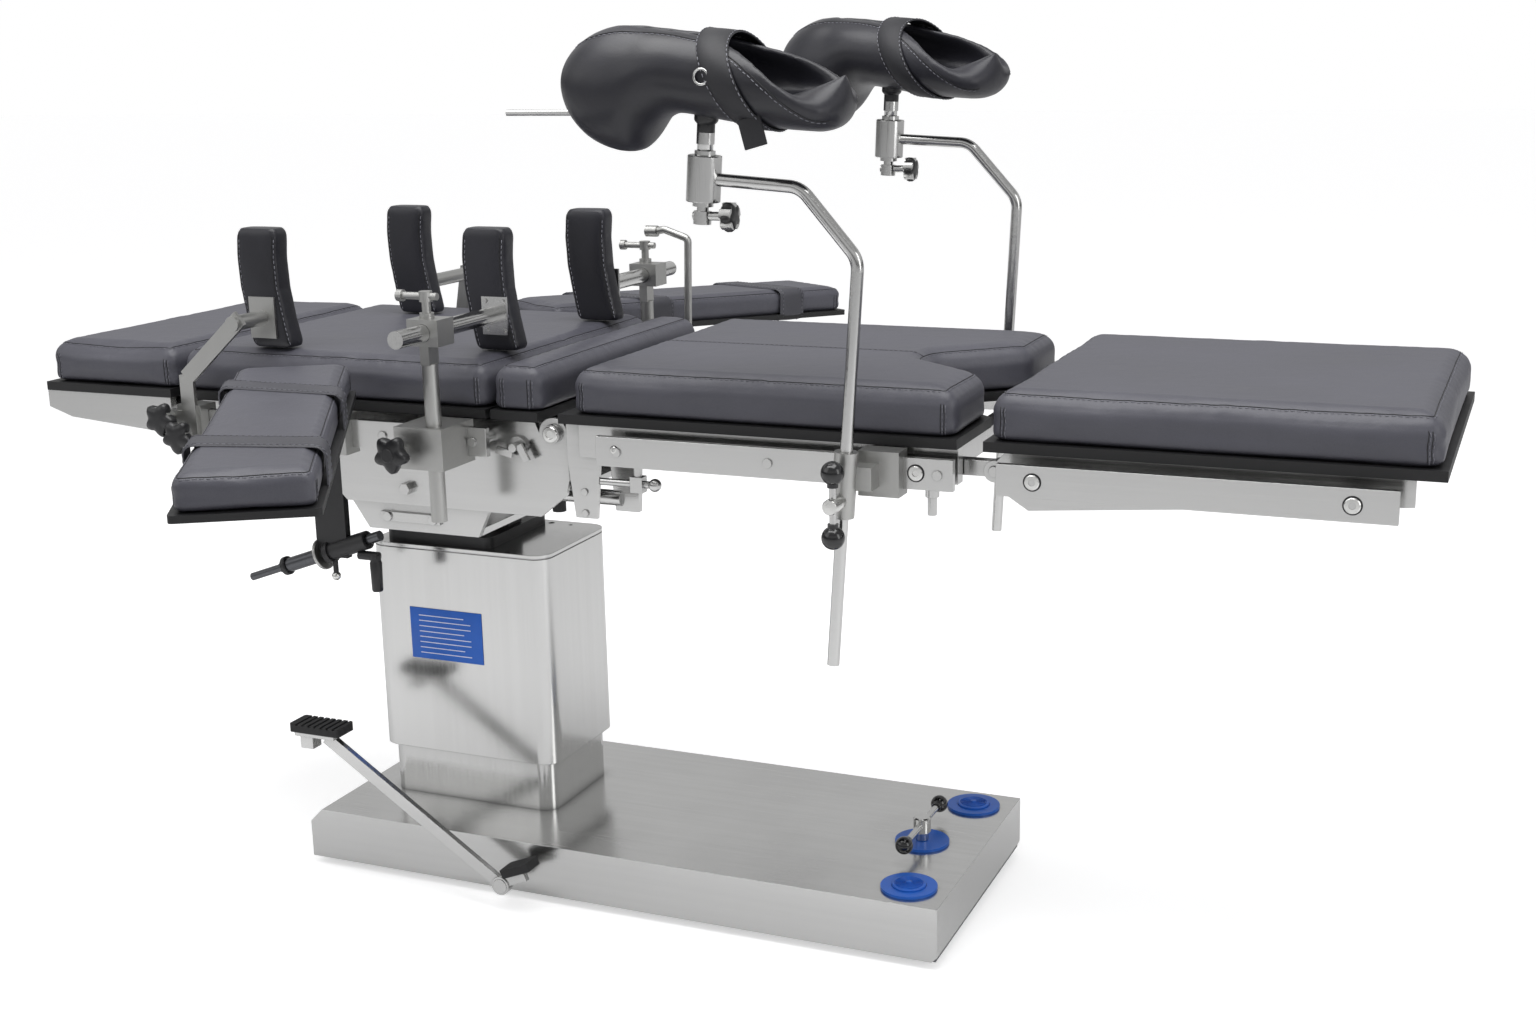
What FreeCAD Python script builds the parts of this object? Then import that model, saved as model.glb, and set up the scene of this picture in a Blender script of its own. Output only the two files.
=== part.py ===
# Operating table: base with floor lock and pump, lifting column, tilting saddle, and a five section
# tabletop with arm boards, shoulder, body and leg supports on its side rails.
# Frame: origin on the floor under the middle of the tabletop, +X to the leg end, +Z up, millimetres.
# "near" pieces lie on the -Y side and "far" pieces on the +Y side.

import FreeCAD, Part
import math
import os
import re

import Sketcher
from FreeCAD import Placement, Rotation, Vector

SIZES = {
    # where the main pieces stand along the table
    "hinge_x": -147.0,
    "hinge_z": 726.0,
    "column_x": -406.0,
    # pads and their plates
    "pad_half_width": 260.0,
    "pad_height": 64.0,
    "pad_corner": 12.0,
    "pad_edge": 16.0,
    "plate_z": 746.0,
    "plate_thick": 13.0,
    "plate_proud": 3.0,
    "head_length": 242.0,
    "head_gap": 8.0,
    "back_length": 529.0,
    "bridge_gap": 4.0,
    "bridge_length": 80.0,
    "bridge_setback": 6.0,
    "seat_setback": 36.0,
    "seat_length": 548.0,
    "leg_gap": 40.0,
    "leg_length": 539.0,
    "cutout_depth": 111.0,
    "cutout_half_width": 112.0,
    "cutout_tip": 16.0,
    # base
    "base_head": 225.0,
    "base_length": 1030.0,
    "base_half_width": 210.0,
    "base_top": 92.0,
    "base_under": 12.0,
    "base_wall": 3.0,
    "head_chamfer": 22.0,
    "foot_chamfer": 8.0,
    "frame_height": 34.0,
    "foot_radius": 30.0,
    "foot_inset": 60.0,
    "disc_radius": 40.0,
    "disc_thick": 4.0,
    "disc_x": 340.0,
    "disc_y": 155.0,
    "lock_x": 308.0,
    "button_radius": 24.0,
    "button_high": 8.0,
    "button_deep": 6.0,
    "button_travel": 5.0,
    "lock_shaft": 7.0,
    "lock_hub_z": 128.0,
    "lock_half": 58.0,
    "ball_radius": 15.0,
    # pump
    "pump_x": -262.0,
    "pump_z": 40.0,
    "pump_y": 252.0,
    "pump_shaft": 11.0,
    "pump_arm": 358.0,
    "pump_rise": 33.5,
    "pump_bar": 19.0,
    "pump_bar_thick": 9.0,
    "pedal_length": 88.0,
    "pedal_width": 42.0,
    "pedal_thick": 13.0,
    "stub_length": 48.0,
    # column
    "upper_half_x": 156.0,
    "upper_half_y": 103.0,
    "upper_z": 172.0,
    "upper_top": 505.0,
    "lower_inset": 10.0,
    "lower_top": 410.0,
    "shroud_corner": 28.0,
    "shroud_wall": 2.0,
    "cap_thick": 5.0,
    "ram_radius": 40.0,
    "ram_foot": 140.0,
    "cylinder_radius": 52.0,
    "cylinder_top": 400.0,
    "running": 0.3,
    # pivot block and saddle
    "block_x": -538.0,
    "block_length": 187.0,
    "block_half_width": 90.0,
    "block_height": 17.0,
    "lug_thick": 24.0,
    "lug_half_width": 20.0,
    "lug_rise": 12.0,
    "tilt_z": 540.0,
    "tilt_shaft": 10.0,
    "sleeve_radius": 16.0,
    "saddle_x": -501.0,
    "saddle_length": 235.0,
    "saddle_z": 562.0,
    "saddle_top": 660.0,
    "saddle_y": 212.0,
    "saddle_plate": 10.0,
    "pivot_x": -389.0,
    "pivot_z": 632.0,
    "pivot_shaft": 12.0,
    # body section frame
    "side_y": 231.0,
    "side_thick": 8.0,
    "side_x": -504.0,
    "side_bottom": 606.0,
    "side_top": 740.0,
    "side_end": 22.0,
    "ear_radius": 22.0,
    "bolt_radius": 13.0,
    "hinge_pin": 8.0,
    "beam_width": 26.0,
    "beam_height": 34.0,
    "head_pivot_x": -770.0,
    "head_pivot_z": 738.0,
    "head_pin": 6.0,
    "head_ear": 10.0,
    "guide_rod": 10.0,
    "guide_y": 150.0,
    "guide_foot": 592.0,
    # rails
    "rail_y": 275.0,
    "rail_thick": 10.0,
    "rail_z": 697.0,
    "rail_height": 40.0,
    "back_rail_x": -745.0,
    "back_rail_end": -227.0,
    "seat_rail_x": -57.0,
    "seat_rail_end": 442.0,
    "leg_rail_x": 497.0,
    "leg_rail_end": 970.0,
    "rail_stud": 9.0,
    "jaw": 9.0,
    # leg hinge
    "knee_x": 484.0,
    "knee_z": 718.0,
    "knee_pin": 7.0,
    "knee_ear": 14.0,
    # arm boards
    "arm_pivot_x": -475.0,
    "arm_pivot_y": 378.0,
    "arm_inset": 60.0,
    "arm_length": 622.0,
    "arm_width": 166.0,
    "arm_splay": 58.7,
    "arm_droop": 2.0,
    "arm_plate_z": 768.0,
    "arm_plate": 9.0,
    "arm_pad": 44.0,
    "arm_hub": 24.0,
    # pads of the shoulder and body supports
    "support_y": 172.0,
    "support_thick": 38.0,
    "support_width": 72.0,
    "support_height": 172.0,
    "support_bow": 9.0,
    "support_z": 826.0,
    "shoulder_near_x": -712.0,
    "shoulder_near_pad_x": -617.0,
    "shoulder_near_y": 241.0,
    "shoulder_far_x": -627.0,
    "shoulder_far_pad_x": -612.0,
    "shoulder_far_y": 172.0,
    "shoulder_bar_z": 870.0,
    "shoulder_bend_z": 787.0,
    "body_near_x": -280.0,
    "body_far_x": -282.0,
    "body_post_y": 330.0,
    "screen_y": 298.0,
    "body_post": 11.0,
    "body_rod": 12.0,
    "body_rod_z": 876.0,
    "body_rod_out": 414.0,
    # leg supports
    "pole_y": 330.0,
    "pole_radius": 8.0,
    "pole_near_x": 317.0,
    "pole_near_z": 726.0,
    "pole_near_lean": 4.2,
    "pole_far_x": 335.0,
    "pole_far_z": 744.0,
    "pole_far_lean": 3.0,
    "pole_below": 256.0,
    "pole_above": 262.0,
    "pole_reach": 80.0,
    "pole_top": 342.0,
    "pole_bend": 34.0,
    "barrel_reach": 208.0,
    "barrel_radius": 21.0,
    "barrel_height": 56.0,
    "stem_radius": 7.5,
    "stem_below": 54.0,
    "stem_above": 94.0,
    "socket_radius": 15.0,
    "lever_half": 41.0,
    "knob_radius": 19.0,
    "knob_thick": 15.0,
    "crutch_half_width": 76.0,
    "crutch_wall": 17.0,
    "crutch_rod": 4.0,
}

doc = FreeCAD.newDocument("operating_table")
sheet = doc.addObject("Spreadsheet::Sheet", "Sizes")
for row, (alias, number) in enumerate(SIZES.items(), 1):
    sheet.set(f"A{row}", str(number))
    sheet.setAlias(f"A{row}", alias)
doc.recompute()

NODES = []
AXES = {"x": Vector(1, 0, 0), "y": Vector(0, 1, 0), "z": Vector(0, 0, 1)}
# a cylinder's own +Z turned to lie along an axis
LAID = {"x": Rotation(AXES["y"], 90), "y": Rotation(AXES["x"], -90), "z": Rotation()}
WORD = re.compile(r"[a-z][a-z0-9_]*")

# places along the table, from the hinge outward
SEAT_START = "(hinge_x + seat_setback)"
SEAT_END = f"({SEAT_START} + seat_length)"
LEG_START = f"({SEAT_END} + leg_gap)"
BRIDGE_END = "(hinge_x - bridge_setback)"
BRIDGE_START = f"({BRIDGE_END} - bridge_length)"
BRIDGE_MIDDLE = f"({BRIDGE_END} - bridge_length / 2)"
BACK_END = f"({BRIDGE_START} - bridge_gap)"
BACK_START = f"({BACK_END} - back_length)"
HEAD_END = f"({BACK_START} - head_gap)"
HEAD_START = f"({HEAD_END} - head_length)"
PAD_Z = "(plate_z + plate_thick)"
BASE_START = "(column_x - base_head)"
BASE_END = f"({BASE_START} + base_length)"
FRAME_TOP = "(base_under + frame_height)"
RAIL_TOP = "(rail_z + rail_height)"
RAIL_OUT = "(rail_y + rail_thick)"
SIDE_OUT = "(side_y + side_thick)"
BEAM_Y = "(side_y - beam_width)"
BEAM_Z = "(plate_z - beam_height)"


def bound(text):
    """An expression with every size's name turned into its cell."""
    return WORD.sub(lambda word: f"Sizes.{word.group()}" if word.group() in SIZES else word.group(),
                    str(text))


def bind(thing, prop, text):
    thing.setExpression(prop, bound(text))


def put(thing, at, rotation=None):
    """Place a thing, its coordinates bound to the sheet."""
    thing.Placement = Placement(Vector(), rotation or Rotation())
    for name, text in zip("xyz", at):
        bind(thing, f".Placement.Base.{name}", text)
    return thing


def block(name, size, at, rotation=None):
    box = doc.addObject("Part::Box", name)
    for prop, text in zip(("Length", "Width", "Height"), size):
        bind(box, prop, text)
    return put(box, at, rotation)


def rod(name, radius, length, at, axis="z", rotation=None):
    cylinder = doc.addObject("Part::Cylinder", name)
    bind(cylinder, "Radius", radius)
    bind(cylinder, "Height", length)
    return put(cylinder, at, rotation or LAID[axis])


def ball(name, radius, at):
    sphere = doc.addObject("Part::Sphere", name)
    bind(sphere, "Radius", radius)
    return put(sphere, at)


def fuse(name, pieces):
    joined = doc.addObject("Part::MultiFuse", name)
    joined.Shapes = pieces
    return joined


def group(name, pieces):
    """Separate solids that share one node."""
    together = doc.addObject("Part::Compound", name)
    together.Links = pieces
    return together


def cut(name, piece, tools):
    tool = tools[0] if len(tools) == 1 else fuse(f"{name}_tools", tools)
    made = doc.addObject("Part::Cut", name)
    made.Base = piece
    made.Tool = tool
    return made


def node(piece, label):
    piece.Label = label
    NODES.append(piece)
    return piece


def width_at(side, inner, thick):
    """The low y of a piece whose inner face is a distance out on one side."""
    return f"{inner}" if side > 0 else f"-({inner}) - ({thick})"


def origin_plane(body, role):
    return next(item for item in body.Origin.OriginFeatures if item.Role == role)


def sketch_on(body, name, role, level):
    sketch = body.newObject("Sketcher::SketchObject", name)
    sketch.AttachmentSupport = [(origin_plane(body, role), "")]
    sketch.MapMode = "FlatFace"
    bind(sketch, ".AttachmentOffset.Base.z", level)
    return sketch


def draw_outline(sketch, corners):
    """A closed outline whose corners are each dimensioned from the origin."""
    count = len(corners)
    start = [Vector(math.cos(2 * math.pi * turn / count), math.sin(2 * math.pi * turn / count), 0) * 100
             for turn in range(count)]
    for index in range(count):
        sketch.addGeometry(Part.LineSegment(start[index], start[(index + 1) % count]), False)
    for index in range(count):
        sketch.addConstraint(Sketcher.Constraint("Coincident", index, 2, (index + 1) % count, 1))
    for index, (across, up) in enumerate(corners):
        for kind, text, value in (("DistanceX", across, start[index].x), ("DistanceY", up, start[index].y)):
            number = sketch.addConstraint(Sketcher.Constraint(kind, -1, 1, index, 1, value))
            bind(sketch, f"Constraints[{number}]", text)


def draw_circle(sketch, radius, across="0", up="0"):
    circle = sketch.addGeometry(Part.Circle(Vector(1, 1, 0), AXES["z"], 5), False)
    for kind, text, value in (("DistanceX", across, 1), ("DistanceY", up, 1)):
        number = sketch.addConstraint(Sketcher.Constraint(kind, -1, 1, circle, 3, value))
        bind(sketch, f"Constraints[{number}]", text)
    number = sketch.addConstraint(Sketcher.Constraint("Radius", circle, 5))
    bind(sketch, f"Constraints[{number}]", radius)


def padded_outline(name, role, corners, thick, level):
    """A body with one outline padded along the plane's normal: +Z for XY, -Y for XZ, +X for YZ."""
    body = doc.addObject("PartDesign::Body", name)
    sketch = sketch_on(body, f"{name}_outline", role, level)
    draw_outline(sketch, corners)
    pad = body.newObject("PartDesign::Pad", f"{name}_pad")
    pad.Profile = sketch
    bind(pad, "Length", thick)
    doc.recompute()
    return body


def upright(name, corners, inner, thick, side):
    """A plate standing in an XZ plane, its inner face a distance out from the middle."""
    level = f"-({inner}) - ({thick})" if side > 0 else f"{inner}"
    return padded_outline(name, "XZ_Plane", corners, thick, level)


def flat(name, corners, thick, level):
    return padded_outline(name, "XY_Plane", corners, thick, level)


def spans(edge, axis):
    """How far an edge's ends lie apart along an axis."""
    ends = [vertex.Point for vertex in edge.Vertexes]
    return abs((ends[-1] - ends[0]).dot(AXES[axis]))


def runs_along(axis):
    return lambda edge, shape: len(edge.Vertexes) == 2 and abs(spans(edge, axis) - edge.Length) < 1e-6


def lies_at(axis, high):
    """Edges that lie in the highest or lowest plane across an axis."""
    def chosen(edge, shape):
        box = edge.BoundBox
        low, top = {"x": (box.XMin, box.XMax), "y": (box.YMin, box.YMax), "z": (box.ZMin, box.ZMax)}[axis]
        whole = shape.BoundBox
        limit = {"x": (whole.XMin, whole.XMax), "y": (whole.YMin, whole.YMax),
                 "z": (whole.ZMin, whole.ZMax)}[axis]
        place = limit[1] if high else limit[0]
        return abs(low - place) < 1e-3 and abs(top - place) < 1e-3
    return chosen


def round_edges(body, radius, chosen):
    """A fillet on the edges of a body's tip that a test picks."""
    tip = body.Tip
    names = [f"Edge{number}" for number, edge in enumerate(tip.Shape.Edges, 1) if chosen(edge, tip.Shape)]
    fillet = body.newObject("PartDesign::Fillet", f"{body.Name}_round")
    fillet.Base = (tip, names)
    bind(fillet, "Radius", radius)
    doc.recompute()
    return body


def rectangle(x0, x1, y0, y1):
    return [(x0, y0), (x1, y0), (x1, y1), (x0, y1)]


def bent_tube(name, points, radius, bend):
    """A round tube along straight runs joined by arcs of one bend radius."""
    edges = []
    start = points[0]
    for before, corner, after in zip(points, points[1:], points[2:]):
        back = (before - corner).normalize()
        ahead = (after - corner).normalize()
        half = back.getAngle(ahead) / 2
        reach = bend / math.tan(half)
        leave = corner + back * reach
        join = corner + ahead * reach
        middle = corner + (back + ahead).normalize() * (bend / math.sin(half) - bend)
        edges.append(Part.LineSegment(start, leave).toShape())
        edges.append(Part.Arc(leave, middle, join).toShape())
        start = join
    edges.append(Part.LineSegment(start, points[-1]).toShape())
    spine = doc.addObject("Part::Feature", f"{name}_spine")
    spine.Shape = Part.Wire(edges)
    section = doc.addObject("Part::Circle", f"{name}_section")
    bind(section, "Radius", radius)
    section.Placement = Placement(points[0], Rotation(AXES["z"], points[1] - points[0]))
    sweep = doc.addObject("Part::Sweep", name)
    sweep.Sections = [section]
    sweep.Spine = (spine, [f"Edge{number + 1}" for number in range(len(edges))])
    sweep.Solid = True
    doc.recompute()
    return sweep


def star_knob(name, at, rotation, radius="knob_radius", thick="knob_thick"):
    """A hand knob: a disc with five scallops, its +Z pointing away from the screw."""
    body = doc.addObject("PartDesign::Body", name)
    disc = sketch_on(body, f"{name}_disc", "XY_Plane", "0")
    draw_circle(disc, radius)
    pad = body.newObject("PartDesign::Pad", f"{name}_pad")
    pad.Profile = disc
    bind(pad, "Length", thick)
    scallop = sketch_on(body, f"{name}_scallop", "XY_Plane", "0")
    draw_circle(scallop, f"{radius} * 0.42", f"{radius} * 1.22")
    pocket = body.newObject("PartDesign::Pocket", f"{name}_pocket")
    pocket.Profile = scallop
    pocket.Reversed = True
    bind(pocket, "Length", f"{thick} + 1")
    pattern = body.newObject("PartDesign::PolarPattern", f"{name}_pattern")
    pattern.Originals = [pocket]
    pattern.Axis = (origin_axis(body), [""])
    pattern.Angle = 360
    pattern.Occurrences = 5
    body.Tip = pattern
    doc.recompute()
    return put(body, at, rotation)


def origin_axis(body):
    return next(item for item in body.Origin.OriginFeatures if item.Role == "Z_Axis")


def facing(side):
    """Turns +Z to point out of the table on one side."""
    return Rotation(AXES["x"], -90 * side)


def side_name(side):
    return "far" if side > 0 else "near"


def make_base():
    profile = [(BASE_START, "base_under"), (f"{BASE_END} - foot_chamfer", "base_under"),
               (BASE_END, "base_under + foot_chamfer"), (BASE_END, "base_top"),
               (f"{BASE_START} + head_chamfer", "base_top"), (BASE_START, "base_top - head_chamfer")]
    shell = padded_outline("cover_outside", "XZ_Plane", profile, "base_half_width * 2", "-base_half_width")
    inside = [(f"{BASE_START} + base_wall", "base_under - 1"), (f"{BASE_END} - base_wall", "base_under - 1"),
              (f"{BASE_END} - base_wall", "base_top - base_wall"),
              (f"{BASE_START} + head_chamfer + base_wall * 0.42", "base_top - base_wall"),
              (f"{BASE_START} + base_wall", "base_top - head_chamfer - base_wall * 0.42")]
    hollow = padded_outline("cover_inside", "XZ_Plane", inside, "(base_half_width - base_wall) * 2",
                            "base_wall - base_half_width")
    openings = [hollow, rod("column_opening", "cylinder_radius + running", "base_top",
                            ("column_x", "0", "base_under"))]
    for side in (-1, 1):
        openings.append(rod(f"button_opening_{side_name(side)}", "button_radius + running * 2", "base_top",
                            ("disc_x", f"{side} * disc_y", "base_under")))
    openings.append(rod("lock_opening", "lock_shaft + running", "base_top", ("lock_x", "0", "base_under")))
    openings.append(rod("pump_opening", "pump_shaft + running", "base_wall * 4",
                        ("pump_x", "-base_half_width - base_wall", "pump_z"), "y"))
    node(cut("cover", shell, openings), "base_cover")

    casting = block("casting", ("base_length - base_wall * 2", "(base_half_width - base_wall) * 2",
                                "frame_height"),
                    (f"{BASE_START} + base_wall", "base_wall - base_half_width", "base_under"))
    pump_room = block("pump_room", ("pump_shaft * 4", "pump_shaft * 3", "base_top"),
                      ("pump_x - pump_shaft * 2", "-base_half_width", "base_under - 1"))
    seat = rod("cylinder_seat", "cylinder_radius + 18", "12", ("column_x", "0", FRAME_TOP))
    ribs = [block(f"rib_{number}", ("12", "(base_half_width - base_wall) * 2 - 60", "30"),
                  (f"{BASE_START} + base_length * {share}", "base_wall + 30 - base_half_width", FRAME_TOP))
            for number, share in enumerate((0.08, 0.5, 0.72))]
    node(cut("base_casting", fuse("casting_with_ribs", [casting, seat] + ribs), [pump_room]), "base_frame")

    feet = []
    for place, across in enumerate((f"{BASE_START} + foot_inset", f"{BASE_END} - foot_inset")):
        for side in (-1, 1):
            at = (across, f"{side} * (base_half_width - foot_inset)", "0")
            pad = rod(f"foot_pad_{place}_{side_name(side)}", "foot_radius", "base_under * 0.6", at)
            neck = rod(f"foot_neck_{place}_{side_name(side)}", "foot_radius * 0.6", "base_under", at)
            feet.append(fuse(f"foot_{place}_{side_name(side)}", [pad, neck]))
    node(group("feet", feet), "floor_feet")

    collars = []
    for name, across, along, hole in (("near", "disc_x", "-disc_y", "button_radius + running * 2"),
                                      ("middle", "lock_x", "0", "lock_shaft + running"),
                                      ("far", "disc_x", "disc_y", "button_radius + running * 2")):
        disc = rod(f"disc_{name}", "disc_radius", "disc_thick", (across, along, "base_top"))
        bore = rod(f"disc_bore_{name}", hole, "disc_thick * 3", (across, along, "base_top - disc_thick"))
        collars.append(cut(f"collar_{name}", disc, [bore]))
    node(group("collars", collars), "disc_collars")

    for side, place in ((-1, "front"), (1, "rear")):
        cap = rod(f"button_cap_{place}", "button_radius", "button_high + button_deep",
                  ("disc_x", f"{side} * disc_y", "base_top - button_deep"))
        dot = rod(f"button_dot_{place}", "button_radius * 0.3", "1.5",
                  ("disc_x", f"{side} * disc_y", "base_top + button_high"))
        stem = rod(f"button_stem_{place}", "button_radius * 0.25",
                   f"base_top - button_deep - {FRAME_TOP} - button_travel - 1",
                   ("disc_x", f"{side} * disc_y", f"{FRAME_TOP} + button_travel + 1"))
        node(fuse(f"button_{place}", [cap, dot, stem]), f"foot_button_{place}")

    shaft = rod("lock_spindle", "lock_shaft", f"lock_hub_z - {FRAME_TOP}", ("lock_x", "0", FRAME_TOP))
    hub = rod("lock_hub", "lock_shaft * 1.9", "30", ("lock_x", "0", "lock_hub_z - 20"))
    bar = rod("lock_bar", "5", "lock_half * 2", ("lock_x", "-lock_half", "lock_hub_z"), "y")
    balls = [ball(f"lock_ball_{side_name(side)}", "ball_radius",
                  ("lock_x", f"{side} * lock_half", "lock_hub_z"))
             for side in (-1, 1)]
    node(fuse("lock", [shaft, hub, bar] + balls), "lock_handle")


def make_pump():
    shaft = rod("pump_axle", "pump_shaft",
                "pump_y + pump_bar_thick / 2 + 3 - base_half_width + base_wall * 2",
                ("pump_x", "-pump_y - pump_bar_thick / 2 - 3", "pump_z"), "y")
    lean = Rotation(AXES["y"], 180 + SIZES["pump_rise"])
    bar = block("pump_bar_flat", ("pump_arm - 6", "pump_bar_thick", "pump_bar"),
                ("pump_x + pump_bar / 2 * sin(pump_rise)", "-pump_y - pump_bar_thick / 2",
                 "pump_z + pump_bar / 2 * cos(pump_rise)"), lean)
    eye = rod("pump_eye", "pump_bar * 0.75", "pump_bar_thick + 4",
              ("pump_x", "-pump_y - pump_bar_thick / 2 - 2", "pump_z"), "y")
    tip_x = "(pump_x - pump_arm * cos(pump_rise))"
    tip_z = "(pump_z + pump_arm * sin(pump_rise))"
    shoe = block("pedal_shoe", ("pedal_length * 0.8", "pedal_width * 0.7", "8"),
                 (f"{tip_x} - pedal_length * 0.5", "-pump_y - pedal_width * 0.35", f"{tip_z} - 2"))
    hanger = block("pedal_hanger", ("22", "pedal_width * 0.5", "22"),
                   (f"{tip_x} - pedal_length * 0.42", "-pump_y - pedal_width * 0.25", f"{tip_z} - 22"))
    stub = block("pump_stub", ("stub_length", "pump_bar_thick", "pump_bar * 0.8"),
                 ("pump_x", "-pump_y - pump_bar_thick / 2", "pump_z - 4"), Rotation(AXES["y"], -22))
    node(fuse("pump_arm_made", [shaft, bar, eye, shoe, hanger, stub]), "pump_lever")

    ribs = []
    for number in range(7):
        ribs.append(block(f"pedal_groove_{number}", ("pedal_length / 22", "pedal_width + 2", "4"),
                          (f"{tip_x} - pedal_length * 0.54 + pedal_length * {number + 1} / 8",
                           "-pump_y - pedal_width / 2 - 1", f"{tip_z} + 6 + pedal_thick - 2.5")))
    slab = flat("pedal_slab", rectangle(f"{tip_x} - pedal_length * 0.55", f"{tip_x} + pedal_length * 0.45",
                                        "-pump_y - pedal_width / 2", "-pump_y + pedal_width / 2"),
                "pedal_thick", f"{tip_z} + 6")
    round_edges(slab, "4", runs_along("z"))
    tread = cut("pedal_tread", slab, ribs)
    grip = flat("stub_grip", rectangle("stub_length * 0.25", "stub_length * 1.3",
                                       "-pedal_width * 0.42", "pedal_width * 0.42"), "pedal_thick", "0")
    round_edges(grip, "4", runs_along("z"))
    put(grip, ("pump_x - 0.6", "-pump_y", "pump_z - 4 + pump_bar * 0.8 + 1.6"), Rotation(AXES["y"], -22))
    node(group("treads", [tread, grip]), "pump_pads")


def shroud(name, half_x, half_y, low, high, corner):
    body = flat(name, rectangle(f"column_x - ({half_x})", f"column_x + ({half_x})",
                                f"-({half_y})", f"{half_y}"), f"({high}) - ({low})", low)
    return round_edges(body, corner, runs_along("z"))


def make_column():
    inset = "upper_half_x - lower_inset"
    inset_y = "upper_half_y - lower_inset"
    outer = shroud("lower_outside", inset, inset_y, "base_top", "lower_top", "shroud_corner - 2")
    inner = shroud("lower_inside", f"{inset} - shroud_wall", f"{inset_y} - shroud_wall", "base_top - 1",
                   "lower_top + 1", "shroud_corner - 2 - shroud_wall")
    node(cut("lower_tube", outer, [inner]), "lower_shroud")

    outer = shroud("upper_outside", "upper_half_x", "upper_half_y", "upper_z", "upper_top - cap_thick - 2",
                   "shroud_corner")
    neck = shroud("upper_neck", "upper_half_x - 1.5", "upper_half_y - 1.5", "upper_top - cap_thick - 3",
                  "upper_top - 1", "shroud_corner - 1.5")
    cap = shroud("upper_cap", "upper_half_x", "upper_half_y", "upper_top - cap_thick", "upper_top",
                 "shroud_corner")
    inner = shroud("upper_inside", "upper_half_x - shroud_wall - 1", "upper_half_y - shroud_wall - 1",
                   "upper_z - 1", "upper_top - cap_thick", "shroud_corner - shroud_wall - 1")
    holes = [rod("cap_hole_wide", "5", "cap_thick * 2",
                 ("column_x + 63", "upper_half_y - 17", "upper_top - 8")),
             rod("cap_hole_small", "3", "cap_thick * 2",
                 ("column_x + 99", "upper_half_y - 19", "upper_top - 8"))]
    node(cut("upper_tube", fuse("upper_solid", [outer, neck, cap]), [inner] + holes), "upper_shroud")

    foot = f"({FRAME_TOP} + 12)"
    barrel = rod("cylinder_barrel", "cylinder_radius", f"cylinder_top - {foot}", ("column_x", "0", foot))
    bore = rod("cylinder_bore", "ram_radius + running", "cylinder_top", ("column_x", "0", f"{foot} + 8"))
    node(cut("cylinder", barrel, [bore]), "lift_cylinder")
    node(rod("ram", "ram_radius", "upper_top - cap_thick - ram_foot", ("column_x", "0", "ram_foot")),
         "lift_ram")

    slab = flat("block_slab", rectangle("block_x", "block_x + block_length", "-block_half_width",
                                        "block_half_width"), "block_height", "upper_top")
    round_edges(slab, "14", runs_along("z"))
    lug_z = "(upper_top + block_height - 1)"
    lugs = [block(f"tilt_lug_{number}", ("lug_thick", "lug_half_width * 2", f"tilt_z + lug_rise - {lug_z}"),
                  (across, "-lug_half_width", lug_z))
            for number, across in enumerate(("block_x + 8", "block_x + block_length - 8 - lug_thick"))]
    shaft = rod("tilt_shaft_round", "tilt_shaft", "block_length - 16", ("block_x + 8", "0", "tilt_z"), "x")
    node(fuse("pivot_casting", [slab, shaft] + lugs), "pivot_block")


def make_saddle():
    x0 = "saddle_x"
    x1 = "(saddle_x + saddle_length)"
    profile = [(f"{x0} + 29", "saddle_z"), (f"{x1} - 21", "saddle_z"), (x1, "saddle_z + 43"),
               (x1, "saddle_top - 24"), (f"{x1} - 30", "saddle_top"), (f"{x0} + 30", "saddle_top"),
               (x0, "saddle_top - 24"), (x0, "saddle_z + 43")]
    pieces = []
    tools = []
    for side in (-1, 1):
        here = side_name(side)
        pieces.append(upright(f"saddle_side_{here}", profile, "saddle_y", "saddle_plate", side))
        link_y = width_at(side, "saddle_y + saddle_plate", "5")
        pieces.append(block(f"link_bar_{here}", ("100", "5", "14"), (f"{x0} + 53", link_y, "saddle_z + 14")))
        for number, across in enumerate((65, 142)):
            bolt_y = width_at(side, "saddle_y + saddle_plate", "8")
            pieces.append(rod(f"link_bolt_{here}_{number}", "7", "8",
                              (f"{x0} + {across}", bolt_y, "saddle_z + 21"), "y"))
        tools.append(rod(f"pivot_bore_{here}", "pivot_shaft + running", "saddle_plate * 3",
                         ("pivot_x", width_at(side, "saddle_y - saddle_plate", "saddle_plate * 3"),
                          "pivot_z"), "y"))
    pieces.append(block("saddle_floor", (f"{x1} - {x0} - 50", "saddle_y * 2", "10"),
                        (f"{x0} + 29", "-saddle_y", "saddle_z")))
    sleeve_x = "(block_x + 8 + lug_thick + 1)"
    sleeve_long = "(block_length - 18 - lug_thick * 2)"
    pieces.append(rod("tilt_sleeve", "sleeve_radius", sleeve_long, (sleeve_x, "0", "tilt_z"), "x"))
    pieces.append(block("tilt_web", (sleeve_long, "sleeve_radius * 1.6", "saddle_z - tilt_z + 1"),
                        (sleeve_x, "-sleeve_radius * 0.8", "tilt_z")))
    tools.append(rod("tilt_bore", "tilt_shaft + running", "block_length", ("block_x", "0", "tilt_z"), "x"))
    node(cut("saddle_made", fuse("saddle_solid", pieces), tools), "saddle")


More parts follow.
